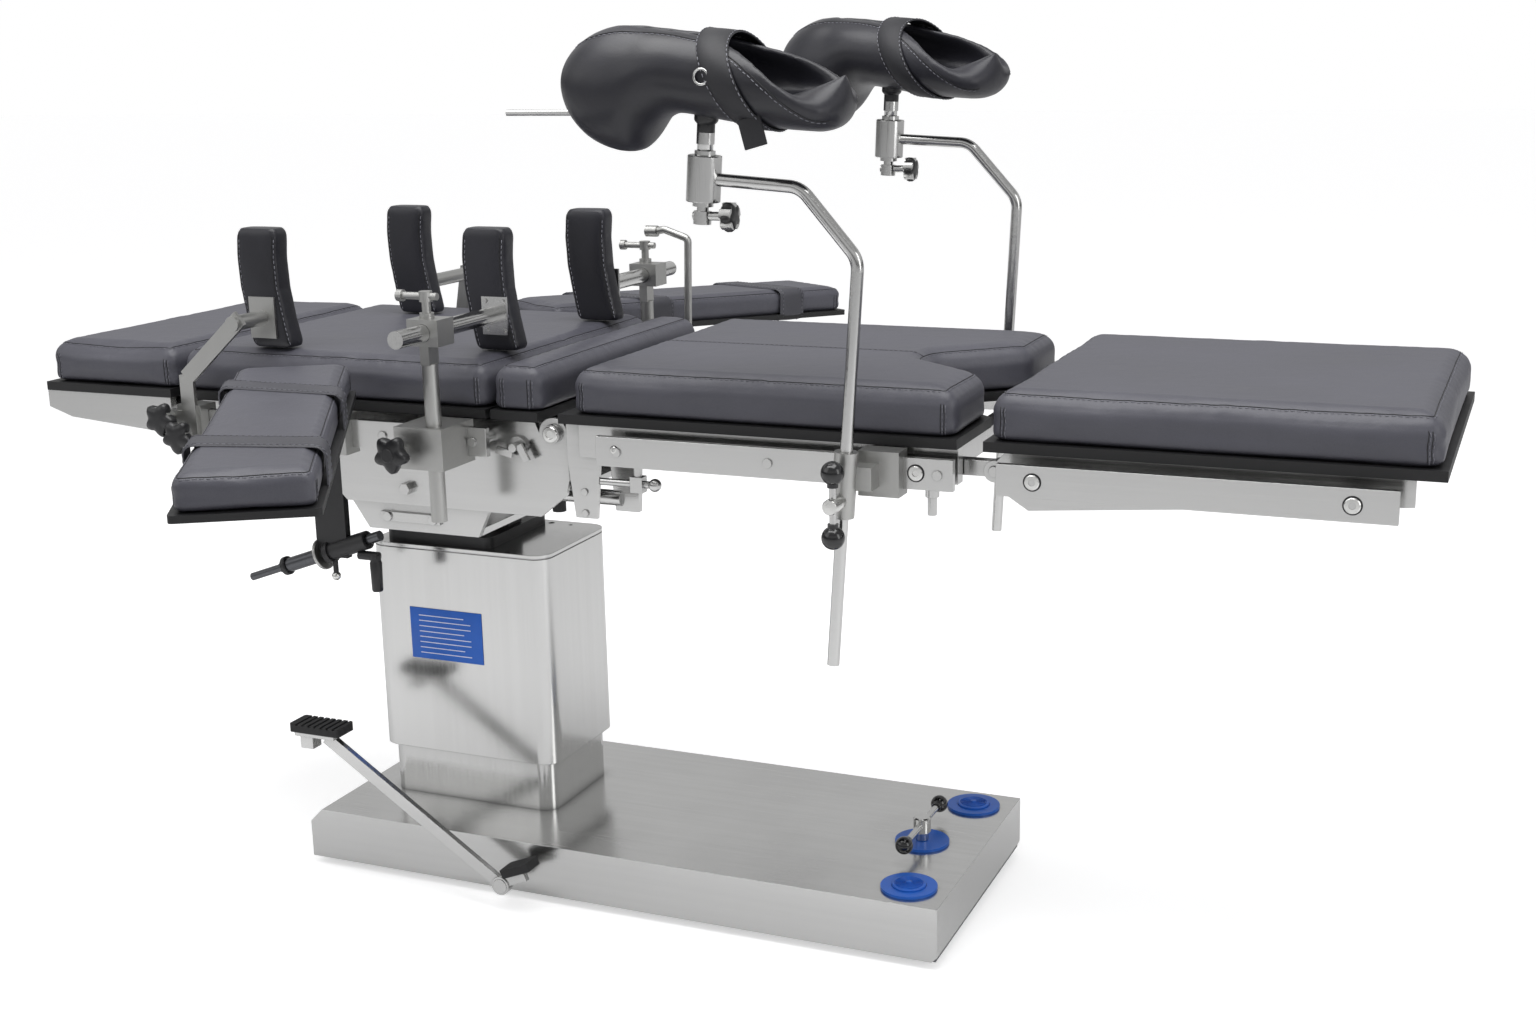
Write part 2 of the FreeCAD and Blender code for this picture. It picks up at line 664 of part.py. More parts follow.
def make_body_section():
    beam_start = "(head_pivot_x + head_ear + 4)"
    beam_end = "(hinge_x - 43)"
    beam_long = f"({beam_end} - {beam_start})"
    pieces = []
    tools = []
    for side in (-1, 1):
        here = side_name(side)
        low = width_at(side, BEAM_Y, "beam_width")
        pieces.append(block(f"body_beam_{here}", (beam_long, "beam_width", "beam_height"),
                            (beam_start, low, BEAM_Z)))
        ear_low = width_at(side, f"{BEAM_Y} + 4", "beam_width - 8")
        pieces.append(rod(f"head_knuckle_{here}", "head_ear", "beam_width - 8",
                          ("head_pivot_x", ear_low, "head_pivot_z"), "y"))
        pieces.append(block(f"head_web_{here}", (f"{beam_start} - head_pivot_x + 1", "beam_width - 8", "14"),
                            ("head_pivot_x", ear_low, "head_pivot_z - 7")))
        pieces.append(rod(f"head_pin_{here}", "head_pin", "beam_width + 12",
                          ("head_pivot_x", width_at(side, f"{BEAM_Y} + 2", "beam_width + 12"),
                           "head_pivot_z"), "y"))
        tools.append(rod(f"guide_bore_{here}", "guide_rod + running", "100",
                         (BRIDGE_MIDDLE, f"{side} * guide_y", "plate_z - 80")))
    for name, across, wide, low, high in (("head", -700, 30, 716, 746), ("middle", -520, 28, 712, 746),
                                          ("guide", None, 40, 690, 735)):
        start = f"{BRIDGE_MIDDLE} - {wide / 2}" if across is None else f"hinge_x + {across - -147}"
        pieces.append(block(f"body_cross_{name}", (f"{wide}", f"{BEAM_Y} * 2 + 2", f"{high - low}"),
                            (start, f"-{BEAM_Y} - 1", f"plate_z - {746 - low}")))
    node(cut("body_frame_made", fuse("body_frame_solid", pieces), tools), "main_frame")

    plates = []
    profile = [("side_x", "side_bottom + 8"), ("side_x + 8", "side_bottom"), ("hinge_x - 25", "side_bottom"),
               ("hinge_x + 16", "side_bottom + 33"), ("hinge_x + side_end", "side_bottom + 54"),
               ("hinge_x + side_end", "hinge_z"), ("hinge_x - side_end", "hinge_z"),
               ("hinge_x - side_end - 6", "side_top"), ("side_x", "side_top")]
    for side in (-1, 1):
        here = side_name(side)
        sheet_plate = upright(f"side_sheet_{here}", profile, "side_y", "side_thick", side)
        out = width_at(side, SIDE_OUT, "8")
        plates.append(sheet_plate)
        plates.append(rod(f"side_ear_{here}", "ear_radius", "side_thick",
                          ("hinge_x", width_at(side, "side_y", "side_thick"), "hinge_z"), "y"))
        plates.append(rod(f"hinge_pin_{here}", "hinge_pin", "side_thick + 20",
                          ("hinge_x", width_at(side, "side_y - 18", "side_thick + 20"), "hinge_z"), "y"))
        plates.append(rod(f"hinge_head_{here}", "bolt_radius", "8", ("hinge_x", out, "hinge_z"), "y"))
        plates.append(rod(f"wing_boss_{here}", "14", "6",
                          ("hinge_x - 55", width_at(side, SIDE_OUT, "6"), "hinge_z - 20"), "y"))
        plates.append(rod(f"wing_stem_{here}", "6", "20",
                          ("hinge_x - 55", width_at(side, SIDE_OUT, "20"), "hinge_z - 20"), "y"))
        for number, turn in enumerate((12, -118)):
            wing = block(f"wing_{here}_{number}", ("26", "5", "10"),
                         (f"hinge_x - 55 - 5 * sin({turn})", width_at(side, f"{SIDE_OUT} + 13", "5"),
                          f"hinge_z - 20 - 5 * cos({turn})"), Rotation(AXES["y"], turn + 180))
            plates.append(wing)
        plates.append(doc_prism(f"pivot_hex_{here}", "9", "12",
                                ("pivot_x", width_at(side, SIDE_OUT, "12"), "pivot_z")))
    plates.append(rod("pivot_axle", "pivot_shaft", f"{SIDE_OUT} * 2",
                      ("pivot_x", f"-{SIDE_OUT}", "pivot_z"), "y"))
    node(fuse("side_plates_made", plates), "side_plates")

    node(flat("back_plate_made", rectangle(f"{BACK_START} + 3", f"{BACK_END} - 2",
                                           "-pad_half_width - plate_proud",
                                           "pad_half_width + plate_proud"), "plate_thick", "plate_z"),
         "back_plate")
    node(cushion("back_cushion", BACK_START, BACK_END), "back_pad")
    rails = []
    for side in (-1, 1):
        rails.append(side_rail(f"back_rail_{side_name(side)}", side, "back_rail_x", "back_rail_end",
                               ((f"back_rail_x + {105 if side < 0 else 45}", "side_y"),
                                 ("back_rail_x + 350", SIDE_OUT),
                                ("back_rail_end - 22", SIDE_OUT))))
    node(group("back_rails_made", rails), "back_rails")


def doc_prism(name, radius, length, at):
    """A hexagon bar along Y."""
    prism = doc.addObject("Part::Prism", name)
    prism.Polygon = 6
    bind(prism, "Circumradius", radius)
    bind(prism, "Height", length)
    return put(prism, at, LAID["y"])


def cushion(name, x0, x1):
    """A rectangular pad, rounded at its upright corners and along its top rim."""
    body = flat(name, rectangle(x0, x1, "-pad_half_width", "pad_half_width"), "pad_height", PAD_Z)
    round_edges(body, "pad_corner", runs_along("z"))
    return round_edges(body, "pad_edge", lies_at("z", True))


def side_rail(name, side, x0, x1, studs):
    """An accessory rail with the studs that carry it, each from a face further in."""
    pieces = [block(f"{name}_bar", (f"({x1}) - ({x0})", "rail_thick", "rail_height"),
                    (x0, width_at(side, "rail_y", "rail_thick"), "rail_z"))]
    for number, (across, face) in enumerate(studs):
        pieces.append(rod(f"{name}_stud_{number}", "rail_stud", f"rail_y - ({face}) + 1",
                          (across, width_at(side, face, f"rail_y - ({face}) + 1"),
                           "rail_z + rail_height / 2"), "y"))
        pieces.append(rod(f"{name}_screw_{number}", "rail_stud * 0.7", "2.5",
                          (across, width_at(side, RAIL_OUT, "2.5"), "rail_z + rail_height / 2"), "y"))
    return fuse(name, pieces)


def make_bridge():
    plate = flat("bridge_plate_flat", rectangle(f"{BRIDGE_START} + 2", f"{BRIDGE_END} - 4",
                                                "-pad_half_width - plate_proud",
                                                "pad_half_width + plate_proud"),
                 "plate_thick", "plate_z")
    rods = [rod(f"guide_rod_{side_name(side)}", "guide_rod", "plate_z - guide_foot + 1",
                (BRIDGE_MIDDLE, f"{side} * guide_y", "guide_foot")) for side in (-1, 1)]
    node(fuse("bridge_carrier", [plate] + rods), "bridge_plate")
    node(cushion("bridge_cushion", BRIDGE_START, BRIDGE_END), "bridge_pad")


def make_head():
    end = "(head_pivot_x - 14)"
    profile = [(f"{HEAD_START} - plate_proud", "plate_z - 26"), (f"{HEAD_START} + 40", "plate_z - 40"),
               (f"{end} - 40", "plate_z - 52"), (end, "plate_z - 46"), (end, "plate_z"),
               (f"{HEAD_START} - plate_proud", "plate_z")]
    pieces = []
    tools = []
    for side in (-1, 1):
        here = side_name(side)
        pieces.append(upright(f"head_side_{here}", profile, "side_y + 19", "12", side))
        knuckle = width_at(side, "side_y + 1.5", "11")
        pieces.append(rod(f"head_eye_{here}", "head_ear", "11", ("head_pivot_x", knuckle, "head_pivot_z"),
                          "y"))
        pieces.append(block(f"head_arm_{here}", ("64", "11", "14"),
                            ("head_pivot_x - 64", knuckle, "head_pivot_z - 7")))
        pieces.append(block(f"head_tie_{here}", ("30", "12", "14"),
                            ("head_pivot_x - 64", width_at(side, "side_y + 9", "12"), "head_pivot_z - 7")))
        tools.append(rod(f"head_bore_{here}", "head_pin + running", "30",
                         ("head_pivot_x", width_at(side, "side_y - 4", "30"), "head_pivot_z"), "y"))
    for number, across in enumerate((f"{HEAD_START} + 20", "head_pivot_x - 64")):
        pieces.append(block(f"head_cross_{number}", ("26", "side_y * 2 + 42", "22"),
                            (across, "-side_y - 21", "plate_z - 24")))
    node(cut("head_frame_made", fuse("head_frame_solid", pieces), tools), "head_frame")
    node(flat("head_plate_made", rectangle(f"{HEAD_START} - plate_proud", f"{HEAD_END} - 8",
                                           "-pad_half_width - plate_proud", "pad_half_width + plate_proud"),
              "plate_thick", "plate_z"), "head_plate")
    node(cushion("head_cushion", HEAD_START, HEAD_END), "head_pad")


def cutout_outline(x0, x1, half, grow):
    """A section's outline with the perineal cut-out at its leg end."""
    mouth = f"(cutout_half_width + {grow})"
    tip = f"({SEAT_END} - cutout_depth - {grow})"
    return [(x0, f"-({half})"), (x1, f"-({half})"), (x1, f"-{mouth}"), (tip, "-cutout_tip"),
            (tip, "cutout_tip"), (x1, mouth), (x1, half), (x0, half)]


def make_seat():
    beam_start = "(hinge_x + 49)"
    beam_end = f"({SEAT_END} + 3)"
    pieces = []
    tools = []
    hanging = [("hinge_x + 25", "plate_z"), ("hinge_x + 75", "plate_z"), ("hinge_x + 75", "hinge_z - 34"),
               ("hinge_x + 68", "hinge_z - 114"), ("hinge_x + 35", "hinge_z - 114"),
               ("hinge_x + 25", "hinge_z - 30")]
    inner = [("hinge_x + 49", "hinge_z + 10"), ("hinge_x + 104", "hinge_z + 10"),
             ("hinge_x + 98", "hinge_z - 118"),
             ("hinge_x + 62", "hinge_z - 118")]
    for side in (-1, 1):
        here = side_name(side)
        beam_low = width_at(side, "side_y + 5", "20")
        pieces.append(block(f"seat_beam_{here}", (f"{beam_end} - {beam_start}", "20", "46"),
                            (beam_start, beam_low, "plate_z - 46")))
        ear_low = width_at(side, "side_y - 15", "13")
        pieces.append(rod(f"seat_eye_{here}", "ear_radius - 6", "13", ("hinge_x", ear_low, "hinge_z"), "y"))
        pieces.append(block(f"seat_arm_{here}", ("69", "13", "26"), ("hinge_x", ear_low, "hinge_z - 13")))
        tools.append(rod(f"seat_bore_{here}", "hinge_pin + running", "20",
                         ("hinge_x", width_at(side, "side_y - 19", "20"), "hinge_z"), "y"))
        pieces.append(upright(f"hanging_plate_{here}", hanging, f"{SIDE_OUT} + 2", "6", side))
        for number, drop in enumerate((77, 107)):
            pieces.append(rod(f"hanging_screw_{here}_{number}", "5", "2.5",
                              ("hinge_x + 50", width_at(side, f"{SIDE_OUT} + 8", "2.5"),
                               f"hinge_z - {drop}"), "y"))
        pieces.append(upright(f"inner_bracket_{here}", inner, "guide_y + 20", "10", side))
        pieces.append(rod(f"seat_push_rod_{here}", "11", "110", ("hinge_x - 38", f"{side} * (guide_y + 28)",
                                                                 "hinge_z - 100"), "x"))
        pieces.append(block(f"knee_arm_{here}", (f"knee_x - {SEAT_END} + 37", "18", "20"),
                            (f"{SEAT_END} - 37", width_at(side, "side_y - 16", "18"), "knee_z - 10")))
        pieces.append(rod(f"knee_eye_{here}", "knee_ear - 2", "18",
                          ("knee_x", width_at(side, "side_y - 16", "18"), "knee_z"), "y"))
        pieces.append(block(f"knee_tie_{here}", ("30", "6", "20"),
                            (f"{SEAT_END} - 37", width_at(side, "side_y + 1", "6"), "knee_z - 10")))
        pieces.append(rod(f"knee_pin_{here}", "knee_pin", "34",
                          ("knee_x", width_at(side, "side_y - 16", "34"), "knee_z"), "y"))
        pieces.append(rod(f"lock_screw_{here}", "6", "50",
                          (f"{SEAT_END} - 34", f"{side} * (side_y + 15)", "plate_z - 90")))
        pieces.append(rod(f"lock_cap_{here}", "9", "16",
                          (f"{SEAT_END} - 34", f"{side} * (side_y + 15)", "plate_z - 66")))
    for number, (across, wide) in enumerate((("hinge_x + 49", 20), (f"{SEAT_END} - 32", 25))):
        pieces.append(block(f"seat_cross_{number}", (f"{wide}", "side_y * 2 + 12", "28"),
                            (across, "-side_y - 6", "hinge_z - 14")))
    release_y = "-side_y - 12"
    release_z = "hinge_z - 61"
    pieces.append(rod("release_rod", "5", "82", ("hinge_x + 74", release_y, release_z), "x"))
    pieces.append(ball("release_bulb", "9", ("hinge_x + 156", release_y, release_z)))
    pieces.append(block("release_block", ("18", "16", "22"),
                        ("hinge_x + 122", f"{release_y} - 8", f"{release_z} - 11")))
    pieces.append(rod("release_stud", "6", "plate_z - 45 - hinge_z + 61",
                      ("hinge_x + 131", release_y, release_z)))
    node(cut("seat_frame_made", fuse("seat_frame_solid", pieces), tools), "seat_frame")

    node(flat("seat_plate_made", cutout_outline("hinge_x + 22", f"{SEAT_END} + plate_proud",
                                                "pad_half_width + plate_proud", "-plate_proud"),
              "plate_thick", "plate_z"), "seat_plate")
    body = flat("seat_cushion", cutout_outline(SEAT_START, SEAT_END, "pad_half_width", "0"), "pad_height",
                PAD_Z)
    round_edges(body, "pad_corner", runs_along("z"))
    round_edges(body, "pad_edge * 0.7", lies_at("z", True))
    node(body, "seat_pad")
    rails = []
    for side in (-1, 1):
        rails.append(side_rail(f"seat_rail_{side_name(side)}", side, "seat_rail_x", "seat_rail_end",
                               (("seat_rail_x + 31", "side_y + 25"), ("seat_rail_x + 250", "side_y + 25"),
                                ("seat_rail_end - 20", "side_y + 25"))))
    node(group("seat_rails_made", rails), "seat_rails")


def make_leg():
    profile = [("knee_x + 16", "plate_z"), (f"{LEG_START} + leg_length - 32", "plate_z"),
               (f"{LEG_START} + leg_length - 32", "plate_z - 36"), ("knee_x + 44", "plate_z - 75"),
               ("knee_x + 8", "plate_z - 52"), ("knee_x - 2", "knee_z - 8"), ("knee_x - 2", "knee_z + 8")]
    pieces = []
    tools = []
    rails = []
    for side in (-1, 1):
        here = side_name(side)
        pieces.append(upright(f"leg_side_{here}", profile, "side_y + 5", "10", side))
        pieces.append(rod(f"leg_eye_{here}", "knee_ear", "10",
                          ("knee_x", width_at(side, "side_y + 5", "10"), "knee_z"), "y"))
        tools.append(rod(f"leg_bore_{here}", "knee_pin + running", "30",
                         ("knee_x", width_at(side, "side_y", "30"), "knee_z"), "y"))
        rails.append(side_rail(f"leg_rail_{here}", side, "leg_rail_x", "leg_rail_end",
                               (("leg_rail_x + 46", "side_y + 15"), ("leg_rail_end - 51", "side_y + 15"))))
    for number, across in enumerate(("knee_x + 50", f"{LEG_START} + leg_length - 90")):
        pieces.append(block(f"leg_cross_{number}", ("28", "side_y * 2 + 12", "26"),
                            (across, "-side_y - 6", "plate_z - 26")))
    node(cut("leg_frame_made", fuse("leg_frame_solid", pieces + rails), tools), "leg_frame")
    node(flat("leg_plate_made", rectangle(f"{LEG_START} - 3", f"{LEG_START} + leg_length + plate_proud",
                                          "-pad_half_width - plate_proud", "pad_half_width + plate_proud"),
              "plate_thick", "plate_z"), "leg_plate")
    node(cushion("leg_cushion", LEG_START, f"{LEG_START} + leg_length"), "leg_pad")


def rail_clamp(name, side, x0, x1, out, clearance):
    """A jaw that hooks over a rail: a C in section, open to the inside where the rail's studs are."""
    lump = block(f"{name}_lump", (f"({x1}) - ({x0})", f"{out} - rail_y + 7", "rail_height + jaw * 2"),
                 (x0, width_at(side, "rail_y - 7", f"{out} - rail_y + 7"), "rail_z - jaw"))
    slot = block(f"{name}_slot", (f"({x1}) - ({x0}) + 2", f"rail_thick + {clearance} * 2",
                                  f"rail_height + {clearance} * 2"),
                 (f"({x0}) - 1", width_at(side, f"rail_y - {clearance}", f"rail_thick + {clearance} * 2"),
                  f"rail_z - {clearance}"))
    mouth = block(f"{name}_mouth", (f"({x1}) - ({x0}) + 2", "9", "rail_height - 8"),
                  (f"({x0}) - 1", width_at(side, "rail_y - 8", "9"), "rail_z + 4"))
    return cut(f"{name}_jaw", lump, [slot, mouth])


def make_rail_clamps():
    solids = []
    for side, post_x in ((-1, "body_near_x"), (1, "body_far_x")):
        here = side_name(side)
        jaw = rail_clamp(f"body_clamp_{here}", side, f"{post_x} - 52", f"{post_x} + 24", "body_post_y + 20",
                         "0")
        bore = rod(f"body_clamp_bore_{here}", "body_post + running", "200",
                   (post_x, f"{side} * body_post_y", "rail_z - 100"))
        pieces = [cut(f"body_clamp_bored_{here}", jaw, [bore])]
        screw = rod(f"body_clamp_screw_{here}", "6", "16",
                    (f"{post_x} - 38", width_at(side, "body_post_y + 20", "16"), "rail_z + 17"), "y")
        pieces.append(screw)
        if side > 0:
            pieces.append(block("screen_socket", ("76", "22", "26"),
                                (f"{post_x} + 23", "screen_y - 10", "rail_z + 6")))
            foot = Vector(SIZES["body_far_x"] + 88, SIZES["screen_y"], SIZES["rail_z"] + 30)
            points = [foot, foot + Vector(6, 0, 212), foot + Vector(-36, 0, 226), foot + Vector(-52, 0, 223)]
            pieces.append(bent_tube("screen_rod", points, "6", 9))
            pieces.append(rod("screen_grip", "9", "20", ("body_far_x + 20", "screen_y", "rail_z + 253"), "x"))
        solids.append(fuse(f"body_clamp_made_{here}", pieces))

        arm = rail_clamp(f"arm_clamp_{here}", side, "arm_pivot_x - 28", "arm_pivot_x + 28",
                         f"{RAIL_OUT} + 16", "0")
        tongue = block(f"arm_tongue_{here}", ("44", f"arm_pivot_y - {RAIL_OUT} - 10", "12"),
                       ("arm_pivot_x - 22",
                        width_at(side, f"{RAIL_OUT} + 10", f"arm_pivot_y - {RAIL_OUT} - 10"),
                        f"{RAIL_TOP} - 4"))
        tongue_end = rod(f"arm_tongue_end_{here}", "22", "12",
                         ("arm_pivot_x", f"{side} * arm_pivot_y", f"{RAIL_TOP} - 4"))
        solids.append(fuse(f"arm_clamp_made_{here}", [arm, tongue, tongue_end]))
    node(group("rail_clamps_made", solids), "support_clamps")


def make_arm_boards():
    for side in (-1, 1):
        here = side_name(side)
        turn = Rotation(AXES["z"], side * SIZES["arm_splay"])
        tilt = turn.multiply(Rotation(AXES["y"], SIZES["arm_droop"]))
        at = ("arm_pivot_x", f"{side} * arm_pivot_y", "arm_plate_z")
        board = flat(f"arm_board_flat_{here}", rectangle("-arm_inset", "arm_length - arm_inset",
                                                         "-arm_width / 2", "arm_width / 2"), "arm_plate", "0")
        round_edges(board, "6", runs_along("z"))
        put(board, at, tilt)
        hub = rod(f"arm_hub_{here}", "arm_hub", f"arm_plate_z - {RAIL_TOP} - 8 - running + 2",
                  ("arm_pivot_x", f"{side} * arm_pivot_y", f"{RAIL_TOP} + 8 + running"))
        node(fuse(f"arm_board_made_{here}", [board, hub]), f"arm_board_{here}")
        pad = flat(f"arm_cushion_{here}", rectangle("4 - arm_inset", "arm_length - arm_inset - 4",
                                                    "4 - arm_width / 2", "arm_width / 2 - 4"), "arm_pad",
                   "arm_plate")
        round_edges(pad, "pad_corner", runs_along("z"))
        round_edges(pad, "pad_corner * 0.8", lies_at("z", True))
        put(pad, at, tilt)
        node(pad, f"arm_pad_{here}")


def support_pad(name, side, middle, out="support_y"):
    """A bowed side pad: an S-shaped outline in the XZ plane, padded across the table."""
    heights = (0, 0.25, 0.5, 0.75, 1)
    bows = (1, 0, -0.8, -1, -0.6)
    half = "support_width / 2"
    right = [(f"{middle} + {half} + support_bow * {bow}", f"support_z + support_height * {share}")
             for share, bow in zip(heights, bows)]
    left = [(f"{middle} - {half} + support_bow * {bow}", f"support_z + support_height * {share}")
            for share, bow in zip(reversed(heights), reversed(bows))]
    body = upright(name, right + left, f"{out} - support_thick", "support_thick", side)
    round_edges(body, "7", lies_at("y", True))
    return round_edges(body, "7", lies_at("y", False))


def make_shoulder_supports():
    for side, middle in ((-1, "shoulder_near_x"), (1, "shoulder_far_x")):
        here = side_name(side)
        pad_x = f"shoulder_{here}_pad_x"
        out = f"shoulder_{here}_y"
        jaw = rail_clamp(f"shoulder_clamp_{here}", side, f"{middle} - 26", f"{middle} + 16", "rail_y + 28",
                         "0.4")
        bar_low = width_at(side, "rail_y + 28", "6")
        bar = block(f"shoulder_bar_low_{here}", ("24", "6", "shoulder_bend_z - rail_z + 6"),
                    (f"{middle} - 12", bar_low, "rail_z - 2"))
        lean = SIZES[pad_x] - SIZES[middle]
        rise = SIZES["shoulder_bar_z"] - SIZES["shoulder_bend_z"]
        slope = f"sqrt(({pad_x} - {middle}) ^ 2 + (shoulder_bar_z - shoulder_bend_z) ^ 2)"
        angle = math.degrees(math.atan2(rise, lean))
        high = block(f"shoulder_bar_high_{here}", (f"{slope} + 12", "6", "24"),
                     (f"{middle} + 12 * sin({angle})", bar_low, f"shoulder_bend_z - 12 * cos({angle})"),
                     Rotation(AXES["y"], -angle))
        bolt = rod(f"shoulder_bolt_{here}", "11", f"rail_y + 40 - {out}",
                   (pad_x, width_at(side, out, f"rail_y + 40 - {out}"), "shoulder_bar_z"), "y")
        backing = block(f"shoulder_backing_{here}", ("44", "4", "60"),
                        (f"{pad_x} - 22", width_at(side, out, "4"), "shoulder_bar_z - 30"))
        pieces = [jaw, bar, high, bolt, backing]
        for number, (shift, height, length) in enumerate(((-34, 31, 20), (-2, 8, 24))):
            y_low = width_at(side, "rail_y + 26", f"{length}")
            pieces.append(rod(f"shoulder_screw_{here}_{number}", "6", f"{length}",
                              (f"{middle} + {shift}", y_low, f"rail_z + {height}"), "y"))
            pieces.append(star_knob(f"shoulder_knob_{here}_{number}",
                                    (f"{middle} + {shift}", f"{side} * (rail_y + 25.5 + {length})",
                                     f"rail_z + {height}"), facing(side)))
        pieces.append(block(f"shoulder_lug_{here}", ("30", "16", "18"),
                            (f"{middle} - 42", width_at(side, "rail_y + 15", "16"), "rail_z + 22")))
        node(fuse(f"shoulder_bar_made_{here}", pieces), f"shoulder_bar_{here}")
        node(support_pad(f"shoulder_cushion_{here}", side, pad_x, out), f"shoulder_pad_{here}")


def make_body_supports():
    for side, middle in ((-1, "body_near_x"), (1, "body_far_x")):
        here = side_name(side)
        post_y = f"{side} * body_post_y"
        post = rod(f"body_post_round_{here}", "body_post", "body_rod_z - 44 - rail_z + 84",
                   (middle, post_y, "rail_z - 84"))
        neck = block(f"body_neck_{here}", ("14", "24", "30"),
                     (f"{middle} - 7", f"{post_y} - 12", "body_rod_z - 45"))
        clamp = block(f"body_head_{here}", ("48", "40", "36"),
                      (f"{middle} - 20", f"{post_y} - 20", "body_rod_z - 18"))
        bore = rod(f"body_head_bore_{here}", "body_rod + running", "80",
                   (f"{middle} + 4", width_at(side, "body_post_y - 40", "80"), "body_rod_z"), "y")
        head = cut(f"body_head_bored_{here}", clamp, [bore])
        screw = rod(f"body_t_screw_{here}", "6", "34", (middle, post_y, "body_rod_z + 17"))
        collar = rod(f"body_t_collar_{here}", "10", "8", (middle, post_y, "body_rod_z + 17"))
        boss = rod(f"body_t_boss_{here}", "9", "14", (middle, post_y, "body_rod_z + 40"))
        bar = rod(f"body_t_bar_{here}", "5", "58", (f"{middle} - 40", post_y, "body_rod_z + 47"), "x")
        knob = rod(f"body_t_end_{here}", "8", "9", (f"{middle} - 44", post_y, "body_rod_z + 47"), "x")
        node(fuse(f"body_post_made_{here}", [post, neck, head, screw, collar, boss, bar, knob]),
             f"body_post_{here}")

        reach = "(body_rod_out - support_y)"
        arm = rod(f"body_rod_{here}", "body_rod", reach,
                  (f"{middle} + 4", width_at(side, "support_y", reach), "body_rod_z"), "y")
        plate = block(f"body_backing_{here}", ("40", "4", "54"),
                      (f"{middle} - 9", width_at(side, "support_y", "4"), "body_rod_z - 27"))
        screws = [rod(f"body_screw_{here}_{number}", "3.5", "2.5",
                      (f"{middle} + 11 + {across}", width_at(side, "support_y + 4", "2.5"),
                       f"body_rod_z + {up}"), "y")
                  for number, (across, up) in enumerate(((-14, -21), (14, -21), (-14, 21), (14, 21)))]
        node(fuse(f"body_arm_made_{here}", [arm, plate] + screws), f"body_arm_{here}")
        node(support_pad(f"body_cushion_{here}", side, middle), f"body_pad_{here}")
        node(star_knob(f"body_knob_star_{here}", (f"{middle} - 38", f"{side} * (body_post_y + 36 + running)",
                                                  "rail_z + 17"), facing(side), "knob_radius * 1.1",
                                                  "knob_thick * 1.1"),
             f"body_knob_{here}")


def leg_support_frame(side):
    """Where a leaning leg support puts a point: u across, w along the pole, from the rail clamp."""
    here = side_name(side)
    x0 = SIZES[f"pole_{here}_x"]
    z0 = SIZES[f"pole_{here}_z"]
    lean = math.radians(SIZES[f"pole_{here}_lean"])

    def place(u, w, y=None):
        along = side * SIZES["pole_y"] if y is None else y
        return Vector(x0 + u * math.cos(lean) + w * math.sin(lean), along,
                      z0 - u * math.sin(lean) + w * math.cos(lean))
    return place


def leaning(name, side, radius, length, u, w):
    """A round bar along the pole's direction, its foot at u, w."""
    here = side_name(side)
    cylinder = doc.addObject("Part::Cylinder", name)
    bind(cylinder, "Radius", radius)
    bind(cylinder, "Height", length)
    lean = f"pole_{here}_lean"
    at = (f"pole_{here}_x + ({u}) * cos({lean}) + ({w}) * sin({lean})", f"{side} * pole_y",
          f"pole_{here}_z - ({u}) * sin({lean}) + ({w}) * cos({lean})")
    return put(cylinder, at, Rotation(AXES["y"], SIZES[lean]))


